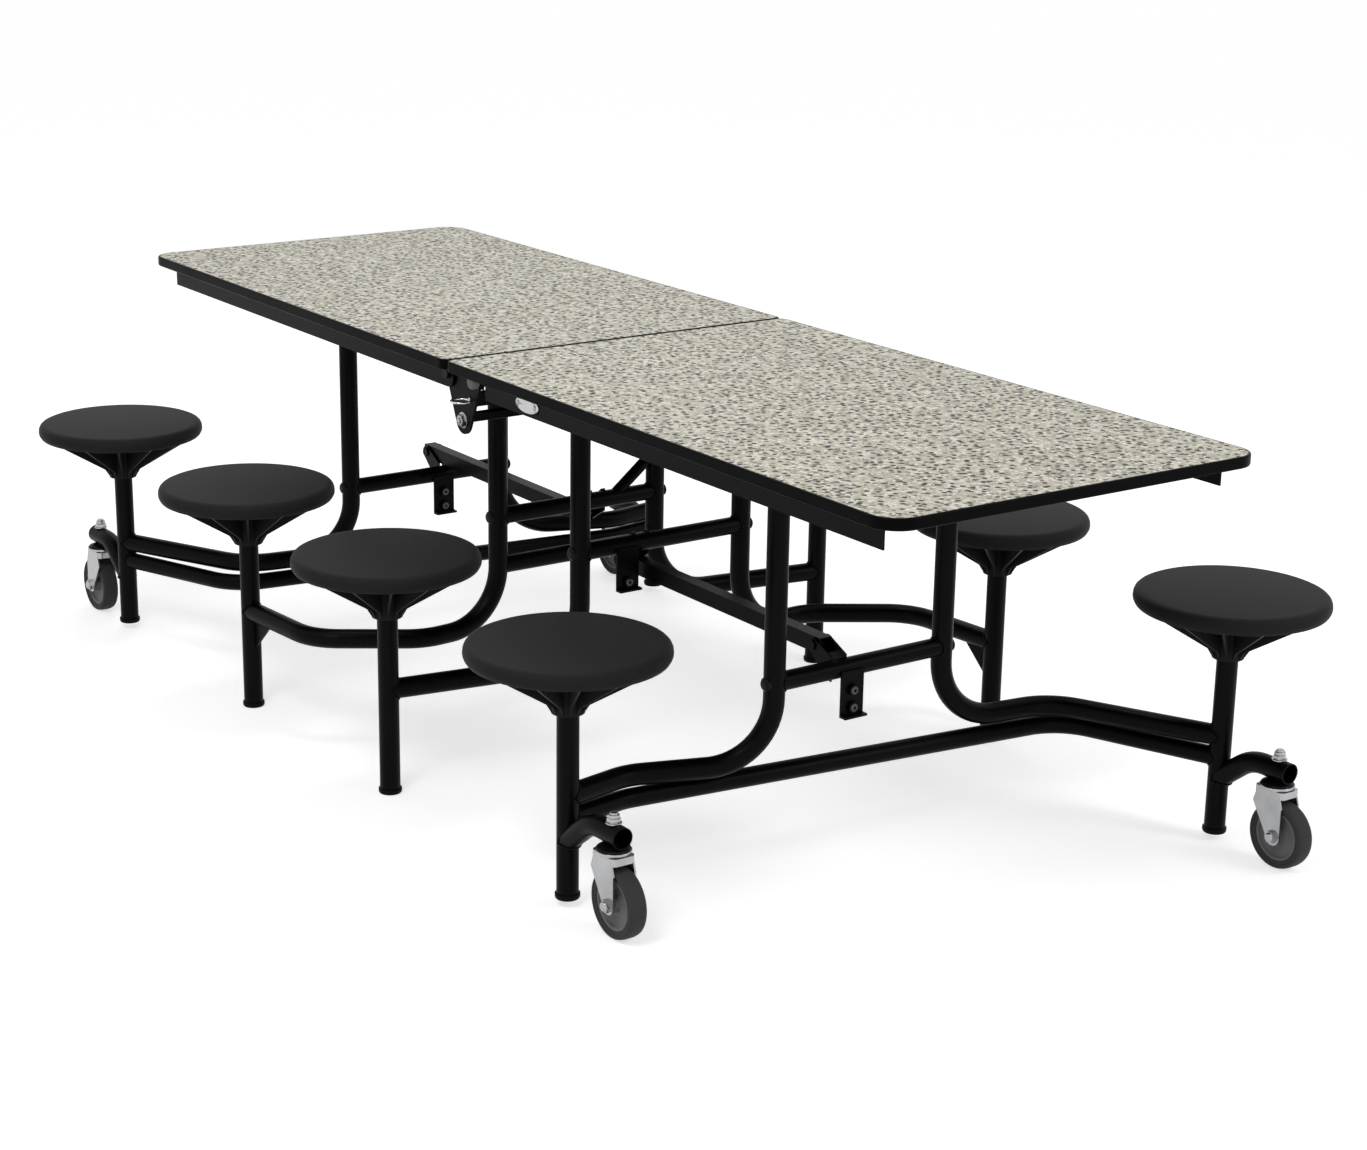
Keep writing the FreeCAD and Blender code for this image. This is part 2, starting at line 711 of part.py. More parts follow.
cross_core = rod(cross_start, cross_start + ACROSS * (2 * leg_y), cross_tube_radius)
brace = brace.cut(leg_core).cut(cross_core)
keep("far_inner_bracing", [turned(brace), turned(cross_tube(inner_leg_x, extra_tube_z))])


# Hanging plates: folded steel plates bolted under the cross tubes

def hanger(leg_x, y, tube_z, low_z, bolt_heights):
    front_x = leg_x + cross_tube_radius + hanger_plate
    low = Vec(front_x - hanger_plate, y - hanger_width / 2, low_z)
    high = Vec(front_x, y + hanger_width / 2, tube_z)
    plate = block(low, high)
    lip = block(Vec(front_x, low.y, low_z), Vec(front_x + hanger_flange, high.y, low_z + hanger_plate))
    plate = plate.fuse(lip).removeSplitter()
    bolts = []
    for z in bolt_heights:
        start = Vec(low.x, y, z)
        shank = rod(start, Vec(front_x, y, z), hanger_bolt_radius)
        plate = plate.cut(shank)
        face = Vec(front_x, y, z)
        bolts.append(shank.fuse(rod(face, face + ALONG * bolt_head_height, bolt_head_radius)))
    return [plate] + bolts


end_heights = [end_hanger_low_z + hanger_bolt_inset, end_hanger_low_z + hanger_width]
inner_heights = [inner_hanger_low_z + hanger_bolt_inset]
near_end_hanger = hanger(end_leg_x, end_hanger_y, mid_tube_z, end_hanger_low_z, end_heights)
far_end_hanger = hanger(-end_leg_x, -end_hanger_y, mid_tube_z, end_hanger_low_z, end_heights)
inner_hanger = hanger(inner_leg_x, inner_hanger_y, upper_tube_z, inner_hanger_low_z, inner_heights)
keep("near_end_hanger_plate", near_end_hanger)
keep("far_end_hanger_plate", far_end_hanger)
keep("near_inner_hanger_plate", inner_hanger)


# Centre hinge: two lobed plates joined by a tie rod, with the latch on the left plate

def hinge_side(side):
    inner_y = hinge_plate_y - hinge_plate
    lobes = [(Vec(-hinge_pivot_x, inner_y, hinge_pivot_z), hinge_lobe_radius),
             (Vec(0, inner_y, hinge_apex_z), hinge_apex_radius),
             (Vec(hinge_pivot_x, inner_y, hinge_pivot_z), hinge_lobe_radius)]
    plate = lobed_plate(lobes, ACROSS * hinge_plate)
    for x in (-hinge_pivot_x, hinge_pivot_x):
        start = Vec(x, inner_y - overrun, hinge_pivot_z)
        plate = plate.cut(rod(start, start + ACROSS * (hinge_plate + 2 * overrun),
                              hinge_pin_radius + pivot_clearance))
    if side < 0:
        plate = plate.mirror(Vec(0, 0, 0), ACROSS)
    return plate


apex = Vec(0, 0, hinge_apex_z)
tie_rod = rod(apex - ACROSS * hinge_plate_y, apex + ACROSS * hinge_plate_y, tie_rod_radius)
for side in (-1, 1):
    face = apex + ACROSS * side * hinge_plate_y
    tie_rod = tie_rod.fuse(hexagon(face, ACROSS * side, nut_height, nut_across))
arm_start = Vec(0, -hinge_plate_y + hinge_plate, hinge_apex_z)
block_low = Vec(latch_block_x - latch_block_size / 2, -hinge_plate_y + hinge_plate,
                latch_block_z - latch_block_size / 2)
block_high = block_low + Vec(latch_block_size, latch_block_depth, latch_block_size)
plunger_start = Vec(latch_block_x, -hinge_plate_y, latch_block_z)
bore_end = plunger_start + ACROSS * (latch_block_depth + 2 * overrun)
plunger_bore = rod(plunger_start - ACROSS * overrun, bore_end, plunger_radius + pivot_clearance)
hinge_plates = [hinge_side(side).cut(tie_rod) for side in (-1, 1)]
hinge_plates[0] = hinge_plates[0].cut(plunger_bore)
latch_housing = block(block_low, block_high).cut(plunger_bore)
arm_low = Vec(-arm_width / 2, arm_start.y, hinge_apex_z - arm_plate / 2)
latch_arm = block(arm_low, arm_low + Vec(arm_width, arm_length, arm_plate))
arm_end = Vec(0, arm_start.y + arm_length, hinge_apex_z - arm_plate / 2)
latch_arm = latch_arm.fuse(rod(arm_end, arm_end + UP * arm_plate, arm_width / 2))
for way in (-1, 1):
    wall_x = way * arm_width / 2
    wall_low = Vec(min(wall_x, wall_x - way * arm_plate), arm_start.y, hinge_apex_z - arm_plate / 2)
    latch_arm = latch_arm.fuse(block(wall_low, wall_low + Vec(arm_plate, arm_length, arm_rise)))
latch_arm = latch_arm.cut(tie_rod).removeSplitter()
keep("hinge_plates", hinge_plates)
keep("hinge_tie_rod", [tie_rod])
keep("latch_arm", [latch_arm, latch_housing])


# Pull ring: a spring plunger with a chromed ring outside and a knob inside

plunger_inner = plunger_start + ACROSS * (hinge_plate + latch_block_depth + plunger_travel + face_gap)
eye_centre = plunger_start - ACROSS * plunger_radius
plunger = rod(eye_centre, plunger_inner, plunger_radius)
knob = rod(plunger_inner, plunger_inner + ACROSS * knob_length, knob_radius)
ring_centre = eye_centre - ACROSS * ring_radius
pull_ring = Part.makeTorus(ring_radius, ring_wire_radius, ring_centre, UP)
keep("pull_ring", [plunger.fuse(knob).fuse(pull_ring)])


# Casters: a rubber tyre on a hub, between pressed fork legs under a ball race

def caster(near_name, far_name, place):
    centre = Vec(place.x + stem_reach + caster_trail, place.y, axle_z)
    stem = Vec(place.x + stem_reach, place.y, 0)
    half = tyre_width / 2
    tyre = rod(centre - ACROSS * half, centre + ACROSS * half, wheel_radius)
    tyre = tyre.makeFillet(tyre_round, [tyre.Edges[0], tyre.Edges[2]])
    tyre = tyre.cut(rod(centre - ACROSS * tyre_width, centre + ACROSS * tyre_width, hub_outer_radius))
    hub_half = (hub_web + hub_rim) / 2
    hub = rod(centre - ACROSS * hub_half, centre + ACROSS * hub_half, hub_outer_radius)
    for way in (-1, 1):
        face = centre + ACROSS * way * hub_half
        inset = face - ACROSS * way * hub_rim / 2
        hub = hub.cut(rod(inset, face + ACROSS * way, hub_outer_radius - hub_rim))
    hub = hub.fuse(rod(centre - ACROSS * hub_width / 2, centre + ACROSS * hub_width / 2, hub_boss_radius))
    bore_way = ACROSS * hub_width
    hub = hub.cut(rod(centre - bore_way, centre + bore_way, axle_radius + pivot_clearance))
    crown_top = fork_crown_z + fork_crown_thickness
    outer_y = fork_gap / 2 + fork_plate
    crown = block(Vec(stem.x - fork_crown_reach, stem.y - outer_y, fork_crown_z),
                  Vec(stem.x + fork_crown_reach, stem.y + outer_y, crown_top))
    upright_edges = [edge for edge in crown.Edges if abs(edge.tangentAt(0).z) > half_way]
    crown = crown.makeFillet(fork_crown_round, upright_edges)
    legs = []
    for way in (-1, 1):
        inner_y = centre.y + way * fork_gap / 2
        low_y = min(inner_y, inner_y + way * fork_plate)
        eye = Vec(centre.x, low_y, axle_z)
        flat_reach = fork_crown_reach - fork_crown_round
        points = [eye - ALONG * fork_eye_radius, eye + ALONG * fork_eye_radius,
                  Vec(centre.x + fork_eye_radius, low_y, fork_shoulder_z),
                  Vec(stem.x + flat_reach, low_y, crown_top), Vec(stem.x - flat_reach, low_y, crown_top),
                  Vec(stem.x - fork_crown_reach, low_y, fork_shoulder_z)]
        plate = plate_from(points, ACROSS * fork_plate)
        legs.append(plate.fuse(rod(eye, eye + ACROSS * fork_plate, fork_eye_radius)))
    axle = rod(centre - ACROSS * outer_y, centre + ACROSS * outer_y, axle_radius)
    fork = crown.multiFuse(legs).cut(axle)
    fork = fork.cut(rod(stem, at_height(stem, table_height), stem_radius + pivot_clearance))
    head = hexagon(centre - ACROSS * outer_y, -ACROSS, bolt_head_height, nut_across)
    nut = hexagon(centre + ACROSS * outer_y, ACROSS, bolt_head_height, nut_across)
    axle = axle.fuse(head).fuse(nut)
    for piece, shapes in (("_fork", [fork, axle]), ("_tyre", [tyre]), ("_hub", [hub])):
        keep(near_name + piece, shapes)
        keep(far_name + piece, [turned(shape) for shape in shapes])


caster("near_left_caster", "far_right_caster", stools["end_left"])
caster("near_right_caster", "far_left_caster", stools["end_right"])

whole = Part.makeCompound(list(nodes.values()))
box = whole.optimalBoundingBox(False)
print("nodes", len(nodes))
print("box", [round(value, 2) for value in (box.XMin, box.XMax, box.YMin, box.YMax, box.ZMin, box.ZMax)])
for name, shape in nodes.items():
    faults = [solid for solid in shape.Solids if not solid.isValid() or solid.Volume <= 0]
    print(name, len(shape.Solids), round(shape.Volume), "bad" if faults else "")
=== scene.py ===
import math

import bmesh
import bpy
from mathutils import Matrix, Vector


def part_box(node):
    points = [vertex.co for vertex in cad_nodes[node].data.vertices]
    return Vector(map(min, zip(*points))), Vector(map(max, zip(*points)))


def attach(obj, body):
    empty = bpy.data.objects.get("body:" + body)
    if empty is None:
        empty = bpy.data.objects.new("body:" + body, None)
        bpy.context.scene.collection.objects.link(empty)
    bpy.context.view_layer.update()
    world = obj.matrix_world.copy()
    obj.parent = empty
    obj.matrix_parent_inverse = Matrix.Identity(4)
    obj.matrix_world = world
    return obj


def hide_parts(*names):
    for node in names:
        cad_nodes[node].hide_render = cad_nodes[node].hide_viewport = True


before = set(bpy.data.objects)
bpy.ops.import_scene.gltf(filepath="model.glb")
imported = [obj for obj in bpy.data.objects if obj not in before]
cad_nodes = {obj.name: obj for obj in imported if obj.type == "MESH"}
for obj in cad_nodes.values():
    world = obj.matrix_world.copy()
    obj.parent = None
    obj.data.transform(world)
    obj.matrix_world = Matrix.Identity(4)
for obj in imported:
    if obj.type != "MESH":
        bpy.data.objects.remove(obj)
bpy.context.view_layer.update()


# Tops
# Two particle boards, with a plain brown backing sheet below and high pressure laminate on
# top. It is printed with a stone pattern: a warm grey ground, broken dark strokes, and pale,
# tan and black chips, drawn as coarse as they have to be to show at this size.

# Nearly all of the far half is the near half after half a turn about the upright axis.
HALVES = {"near": 1, "far": -1}
PATCH_SIZE = 0.012
STROKE_SIZE = 0.026
CHIP_SIZE = 0.009
CHIP_CORE = 0.7
LAMINATE_SHEET = 0.0012
DARK_GROUND = "AFAA99"
PALE_GROUND = "EEEADA"
STROKE_COLOUR = "4B463B"
BACKING_COLOUR = "544A3D"
# For each kind of chip: its cell in chip sizes, the share of the cells that hold one, its
# radius as a share of the cell, and its colour.
CHIPS = ((1.3, 0.22, 0.42, "7F796B"), (1.0, 0.12, 0.42, "857656"), (1.1, 0.2, 0.42, "F4F2E8"),
         (2.0, 0.7, 0.27, "0F0B04"))


def linear(code):
    def channel(pair):
        value = int(pair, 16) / 255
        return value / 12.92 if value <= 0.04045 else ((value + 0.055) / 1.055) ** 2.4
    return (channel(code[0:2]), channel(code[2:4]), channel(code[4:6]), 1.0)


def add(tree, kind, inputs=(), **settings):
    made = tree.nodes.new(kind)
    for name, value in settings.items():
        setattr(made, name, value)
    for name, value in dict(inputs).items():
        socket = made.inputs[name]
        if isinstance(value, bpy.types.NodeSocket):
            tree.links.new(value, socket)
        else:
            socket.default_value = value
    return made


def start_material(name, colour="808080", roughness=0.5, shine=0.5, metallic=0.0):
    material = bpy.data.materials.new(name)
    material.use_nodes = True
    tree = material.node_tree
    shader = tree.nodes["Principled BSDF"]
    shader.inputs["Base Color"].default_value = linear(colour)
    shader.inputs["Roughness"].default_value = roughness
    shader.inputs["Specular IOR Level"].default_value = shine
    shader.inputs["Metallic"].default_value = metallic
    place = add(tree, "ShaderNodeTexCoord").outputs["Object"]
    return material, tree, shader, place


# No real finish is even, so its roughness wanders from low to high over patches of the given
# size, with a relief of the given height where bump isn't zero.
def vary(tree, shader, place, size, low, high, bump=0.0, height=0.0, detail=2.0):
    noise = add(tree, "ShaderNodeTexNoise", {"Vector": place, "Scale": 1 / size, "Detail": detail})
    uneven = noise.outputs["Fac"]
    spread = add(tree, "ShaderNodeMapRange", {"Value": uneven, "From Min": 0.3, "From Max": 0.7,
                                              "To Min": low, "To Max": high})
    tree.links.new(spread.outputs["Result"], shader.inputs["Roughness"])
    if bump:
        relief = add(tree, "ShaderNodeBump", {"Height": uneven, "Strength": bump, "Distance": height})
        tree.links.new(relief.outputs["Normal"], shader.inputs["Normal"])
    return uneven


def paint_node(name, material):
    mesh = cad_nodes[name].data
    mesh.materials.clear()
    mesh.materials.append(material)


laminate, tree, shader, place = start_material("speckled_laminate", roughness=0.42, shine=0.12)
patches = add(tree, "ShaderNodeTexNoise", {"Vector": place, "Scale": 1 / PATCH_SIZE, "Detail": 3.0,
                                           "Roughness": 0.65}).outputs["Fac"]
spread = add(tree, "ShaderNodeMapRange", {"Value": patches, "From Min": 0.35, "From Max": 0.65})
ground = add(tree, "ShaderNodeMix", {"Factor": spread.outputs["Result"], "A": linear(DARK_GROUND),
                                     "B": linear(PALE_GROUND)}, data_type="RGBA").outputs[2]
# A stroke runs where the waves cross their middle level, and breaks off over dark patches.
waves = add(tree, "ShaderNodeTexNoise", {"Vector": place, "Scale": 1 / STROKE_SIZE, "Detail": 2.0,
                                         "Distortion": 1.2}).outputs["Fac"]
off_middle = add(tree, "ShaderNodeMath", {0: waves, 1: 0.5}, operation="SUBTRACT").outputs[0]
off_middle = add(tree, "ShaderNodeMath", {0: off_middle}, operation="ABSOLUTE").outputs[0]
stroke = add(tree, "ShaderNodeMapRange", {"Value": off_middle, "From Min": 0.016,
                                          "From Max": 0.008}).outputs["Result"]
broken = add(tree, "ShaderNodeMapRange", {"Value": patches, "From Min": 0.46,
                                          "From Max": 0.5}).outputs["Result"]
stroke = add(tree, "ShaderNodeMath", {0: stroke, 1: broken}, operation="MULTIPLY").outputs[0]
colour = add(tree, "ShaderNodeMix", {"Factor": stroke, "A": ground, "B": linear(STROKE_COLOUR)},
             data_type="RGBA").outputs[2]
# Each kind of chip lies over the one before it. A chip is solid in its core and fades at its rim.
for size, share, reach, code in CHIPS:
    cells = add(tree, "ShaderNodeTexVoronoi", {"Vector": place, "Scale": 1 / (CHIP_SIZE * size),
                                               "Randomness": 1.0}, voronoi_dimensions="2D")
    chosen = add(tree, "ShaderNodeSeparateColor", {"Color": cells.outputs["Color"]}).outputs["Red"]
    picked = add(tree, "ShaderNodeMath", {0: chosen, 1: share}, operation="LESS_THAN").outputs[0]
    inside = add(tree, "ShaderNodeMapRange", {"Value": cells.outputs["Distance"], "From Min": reach,
                                              "From Max": reach * CHIP_CORE}).outputs["Result"]
    amount = add(tree, "ShaderNodeMath", {0: picked, 1: inside}, operation="MULTIPLY").outputs[0]
    colour = add(tree, "ShaderNodeMix", {"Factor": amount, "A": colour, "B": linear(code)},
                 data_type="RGBA").outputs[2]
# The pattern shows only as deep as the laminate goes, and all below it is backing brown.
height = add(tree, "ShaderNodeSeparateXYZ", {0: place}).outputs["Z"]
face_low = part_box("near_top_panel")[1].z - LAMINATE_SHEET
faced = add(tree, "ShaderNodeMath", {0: height, 1: face_low}, operation="GREATER_THAN").outputs[0]
sheets = add(tree, "ShaderNodeMix", {"Factor": faced, "A": linear(BACKING_COLOUR), "B": colour},
             data_type="RGBA").outputs[2]
tree.links.new(sheets, shader.inputs["Base Color"])
for half in HALVES:
    paint_node(half + "_top_panel", laminate)


# Edge moulding
# A black vinyl T-shaped moulding pressed into the edge of each board. It was extruded, so
# it is smooth and satin, with soft long waves.

EDGE_WAVE = 0.08
edge_vinyl, tree, shader, place = start_material("extruded_vinyl", "070707", shine=0.03)
vary(tree, shader, place, EDGE_WAVE, low=0.28, high=0.4, bump=0.1, height=0.002)
for half in HALVES:
    paint_node(half + "_edge_trim", edge_vinyl)


# Bent steel frames
# Welded steel tube and folded sheet under a baked black powder coat, which is smooth but
# has a fine orange peel that breaks up the highlights.

ORANGE_PEEL = 0.0022
powder_coat, tree, shader, place = start_material("black_powder_coat", "060606", shine=0.06)
vary(tree, shader, place, ORANGE_PEEL, low=0.3, high=0.42, bump=0.12, height=0.0003)
STEEL = ("side_rails", "leg_brackets", "end_legs", "end_lower_tube", "end_cross_tube", "end_posts",
         "end_outriggers", "end_link_bracket", "end_hanger_plate", "inner_arms", "inner_cross_tube",
         "inner_posts", "inner_link_bracket", "link")
for half in HALVES:
    for part in STEEL:
        paint_node(half + "_" + part, powder_coat)
for name in ("far_inner_bracing", "near_inner_hanger_plate", "hinge_plates", "hinge_tie_rod", "latch_arm"):
    paint_node(name, powder_coat)


# Stool seats
# One injection moulding each, in black polypropylene with a fine matt grain: a flat top with
# a soft edge, a skirt, a hub that fits over the post, and ribs between hub and skirt.

KINDS = ("end", "inner")
ROUND_SEGMENTS = 72
# How far from a corner its rounding starts, from a broken edge to a full one.
HAIR = 0.0003
FINE = 0.0005
SLIGHT = 0.0008
SMALL = 0.001
SOFT = 0.0015
ROUND = 0.002
WIDE = 0.003
FULL = 0.005


# The corners of a profile are radius, height and rounding. A rounding is a short curve
# between the points that lie that far from the corner on either side.
def soften(points, steps=5):
    made = []
    for number, (x, z, size) in enumerate(points):
        corner = Vector((x, z))
        if size == 0:
            made.append(corner)
            continue
        before = (Vector(points[number - 1][:2]) - corner).normalized() * size
        after = (Vector(points[(number + 1) % len(points)][:2]) - corner).normalized() * size
        for step in range(steps + 1):
            share = step / steps
            made.append(corner + before * (1 - share) ** 2 + after * share ** 2)
    return made


def lathe(shape, points, matrix, segments=ROUND_SEGMENTS, closed=False):
    rings = []
    for radius, height in soften(points):
        turns = [0] if radius == 0 else [number * math.tau / segments for number in range(segments)]
        corners = [Vector((radius * math.cos(turn), radius * math.sin(turn), height)) for turn in turns]
        rings.append([shape.verts.new(matrix @ corner) for corner in corners])
    pairs = list(zip(rings, rings[1:]))
    if closed:
        pairs.append((rings[-1], rings[0]))
    for first, last in pairs:
        for number in range(segments):
            after = (number + 1) % segments
            corners = [first[number % len(first)], first[after % len(first)],
                       last[after % len(last)], last[number % len(last)]]
            shape.faces.new(list(dict.fromkeys(corners)))


def finish_piece(name, shape, material, body, sharp=40):
    bmesh.ops.recalc_face_normals(shape, faces=shape.faces)
    mesh = bpy.data.meshes.new(name)
    shape.to_mesh(mesh)
    shape.free()
    mesh.materials.append(material)
    mesh.shade_smooth()
    mesh.set_sharp_from_angle(angle=math.radians(sharp))
    piece = bpy.data.objects.new(name, mesh)
    bpy.context.scene.collection.objects.link(piece)
    if body:
        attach(piece, body)
    return piece


# Copies of one object stand in a ring, each facing outwards. Saddle is the radius of a tube
# across the ring: the copies rise to its surface, and with no saddle the ring is flat.
ring_tree = bpy.data.node_groups.new("ring_of_copies", "GeometryNodeTree")
for name, kind in (("Copy", "NodeSocketObject"), ("Count", "NodeSocketInt"), ("Radius", "NodeSocketFloat"),
                   ("Saddle", "NodeSocketFloat"), ("Material", "NodeSocketMaterial")):
    ring_tree.interface.new_socket(name, in_out="INPUT", socket_type=kind)
ring_tree.interface.new_socket("Geometry", in_out="OUTPUT", socket_type="NodeSocketGeometry")
given = add(ring_tree, "NodeGroupInput").outputs
circle = add(ring_tree, "GeometryNodeMeshCircle", {"Vertices": given["Count"], "Radius": given["Radius"]})
spot = add(ring_tree, "GeometryNodeInputPosition").outputs[0]
across = add(ring_tree, "ShaderNodeSeparateXYZ", {0: spot}).outputs["X"]
across_squared = add(ring_tree, "ShaderNodeMath", {0: across, 1: across}, operation="MULTIPLY").outputs[0]
saddle_squared = add(ring_tree, "ShaderNodeMath", {0: given["Saddle"], 1: given["Saddle"]},
                     operation="MULTIPLY").outputs[0]
rise = add(ring_tree, "ShaderNodeMath", {0: saddle_squared, 1: across_squared},
           operation="SUBTRACT").outputs[0]
rise = add(ring_tree, "ShaderNodeMath", {0: rise, 1: 0.0}, operation="MAXIMUM").outputs[0]
rise = add(ring_tree, "ShaderNodeMath", {0: rise}, operation="SQRT").outputs[0]
shift = add(ring_tree, "ShaderNodeCombineXYZ", {"Z": rise}).outputs[0]
saddled = add(ring_tree, "GeometryNodeSetPosition", {"Geometry": circle.outputs["Mesh"], "Offset": shift})
flat_way = add(ring_tree, "ShaderNodeVectorMath", {0: spot, 1: (1.0, 1.0, 0.0)}, operation="MULTIPLY")
facing = add(ring_tree, "FunctionNodeAlignRotationToVector", {"Vector": flat_way.outputs[0]}, axis="X",
             pivot_axis="Z")
copied = add(ring_tree, "GeometryNodeObjectInfo", {"Object": given["Copy"]})
placed = add(ring_tree, "GeometryNodeInstanceOnPoints", {"Points": saddled.outputs["Geometry"],
                                                         "Instance": copied.outputs["Geometry"],
                                                         "Rotation": facing.outputs["Rotation"]})
real = add(ring_tree, "GeometryNodeRealizeInstances", {"Geometry": placed.outputs["Instances"]})
dressed = add(ring_tree, "GeometryNodeSetMaterial", {"Geometry": real.outputs["Geometry"],
                                                     "Material": given["Material"]})
add(ring_tree, "NodeGroupOutput", {"Geometry": dressed.outputs["Geometry"]})


def ring_mesh(copy, count, radius, saddle, material):
    carrier = bpy.data.objects.new("ring_carrier", bpy.data.meshes.new("ring_carrier"))
    bpy.context.scene.collection.objects.link(carrier)
    modifier = carrier.modifiers.new("ring_of_copies", "NODES")
    modifier.node_group = ring_tree
    values = {"Copy": copy, "Count": count, "Radius": radius, "Saddle": saddle, "Material": material}
    for socket in ring_tree.interface.items_tree:
        if socket.in_out == "INPUT":
            modifier[socket.identifier] = values[socket.name]
    made = bpy.data.meshes.new_from_object(carrier.evaluated_get(bpy.context.evaluated_depsgraph_get()))
    bpy.data.objects.remove(carrier)
    return made


def add_mesh(shape, mesh, matrix):
    had = len(shape.verts)
    shape.from_mesh(mesh)
    shape.verts.ensure_lookup_table()
    for vertex in shape.verts[had:]:
        vertex.co = matrix @ vertex.co


SEAT_RADIUS = 0.163
SEAT_EDGE = 0.027
SEAT_WALL = 0.0045
SEAT_ROUNDING = 0.015
SKIRT_STRAIGHT = 0.019
SKIRT_TAPER = 0.0045
WALL_TAPER = 0.003
HEM_ROUNDING = 0.0025
HUB_RADIUS = 0.027
HUB_BORE = 0.0182
POST_TOP = 0.404
RIB_THICKNESS = 0.0036
RIB_COUNT = 14
RIB_KNEE = (0.036, 0.340)
RIB_FOOT_Z = 0.327
RIB_FOOT_WIDTH = 0.001
RIB_END_INSET = 0.0095
RIB_HEM_GAP = 0.002
RIB_END_GAP = 0.003
# How far the ribs run into the hub, the wall and the top.
RIB_SINK = 0.002
# The outline of a rib holds its distance from the middle, so the ring itself can be tiny.
RIB_RING_RADIUS = 0.0002
SEAT_GRAIN = 0.0011
seat_low, seat_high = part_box("near_end_seats")
seat_top = seat_high.z
seat_hem = seat_top - SEAT_EDGE
soffit = seat_top - SEAT_WALL
inner_wall = SEAT_RADIUS - SEAT_WALL
hem_inside = inner_wall - WALL_TAPER
shell_profile = [(0, seat_top, 0), (SEAT_RADIUS, seat_top, SEAT_ROUNDING),
                 (SEAT_RADIUS, seat_top - SKIRT_STRAIGHT, WIDE),
                 (SEAT_RADIUS - SKIRT_TAPER, seat_hem, HEM_ROUNDING), (hem_inside, seat_hem, FINE),
                 (hem_inside, soffit, WIDE), (HUB_RADIUS, soffit, WIDE), (HUB_RADIUS, seat_low.z, SOFT),
                 (HUB_BORE, seat_low.z, SMALL), (HUB_BORE, POST_TOP, 0), (0, POST_TOP, 0)]
seat_plastic, tree, shader, place = start_material("moulded_polypropylene", "2C2C2C", shine=0.03)
vary(tree, shader, place, SEAT_GRAIN, low=0.45, high=0.56, bump=0.25, height=0.0003, detail=1.0)
rib = bmesh.new()
rib_hub = HUB_RADIUS - RIB_SINK
rib_wall = hem_inside + RIB_SINK
rib_outline = [(rib_hub, RIB_FOOT_Z), (HUB_RADIUS + RIB_FOOT_WIDTH, RIB_FOOT_Z), RIB_KNEE,
               (SEAT_RADIUS - RIB_END_INSET, seat_hem + RIB_HEM_GAP), (rib_wall, seat_hem + RIB_END_GAP),
               (rib_wall, soffit + RIB_SINK), (rib_hub, soffit + RIB_SINK)]
for side in (-1, 1):
    rib.faces.new([rib.verts.new((x, side * RIB_THICKNESS / 2, z)) for x, z in rib_outline])
bmesh.ops.bridge_loops(rib, edges=rib.edges)
one_rib = finish_piece("seat_rib", rib, seat_plastic, None)
ribs = ring_mesh(one_rib, RIB_COUNT, RIB_RING_RADIUS, 0.0, seat_plastic)
bpy.data.objects.remove(one_rib)
feet = {}
for half in HALVES:
    for kind in KINDS:
        node = f"{half}_{kind}_seats"
        low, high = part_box(node)
        feet[half, kind] = [Vector((low.x + SEAT_RADIUS, low.y + SEAT_RADIUS, 0)),
                            Vector((high.x - SEAT_RADIUS, high.y - SEAT_RADIUS, 0))]
        shape = bmesh.new()
        for foot in feet[half, kind]:
            lathe(shape, shell_profile, Matrix.Translation(foot))
            add_mesh(shape, ribs, Matrix.Translation(foot))
        piece = finish_piece(node + "_moulding", shape, seat_plastic, f"{half}_{kind}_frame")
        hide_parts(node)


# Foot caps
# Cups of black moulded plastic, dull and slightly grained, pushed on the lower ends of the
# eight posts. They are a little wider than the tube and rounded where they meet the floor.

CAP_RADIUS = 0.0205
CAP_HEIGHT = 0.009
CAP_TAPER = 0.0015
CAP_SHOULDER = 0.003
CAP_CROWN = 0.0006
CAP_ROUNDING = 0.0012
CAP_GRAIN = 0.003
foot_plastic, tree, shader, place = start_material("moulded_foot_plastic", "0C0C0C", shine=0.06)
vary(tree, shader, place, CAP_GRAIN, low=0.4, high=0.55, bump=0.15, height=0.0003)
for half in HALVES:
    for kind in KINDS:
        floor_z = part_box(f"{half}_{kind}_fittings")[0].z
        rim_z = floor_z + CAP_HEIGHT
        cap_profile = [(0, floor_z, 0), (CAP_RADIUS - CAP_TAPER, floor_z, CAP_ROUNDING),
                       (CAP_RADIUS, floor_z + CAP_SHOULDER, SMALL), (CAP_RADIUS, rim_z, SMALL),
                       (HUB_BORE, rim_z + CAP_CROWN, 0), (0, rim_z + CAP_CROWN, 0)]
        shape = bmesh.new()
        for foot in feet[half, kind]:
            lathe(shape, cap_profile, Matrix.Translation(foot))
        finish_piece(f"{half}_{kind}_foot_caps", shape, foot_plastic, f"{half}_{kind}_frame")


# Leg bolts and pins
# Low button heads on the outside of each leg, which hold the cross tubes, and the pins under
# the tops. All are black oxide steel, which is dull with a slight oily sheen.

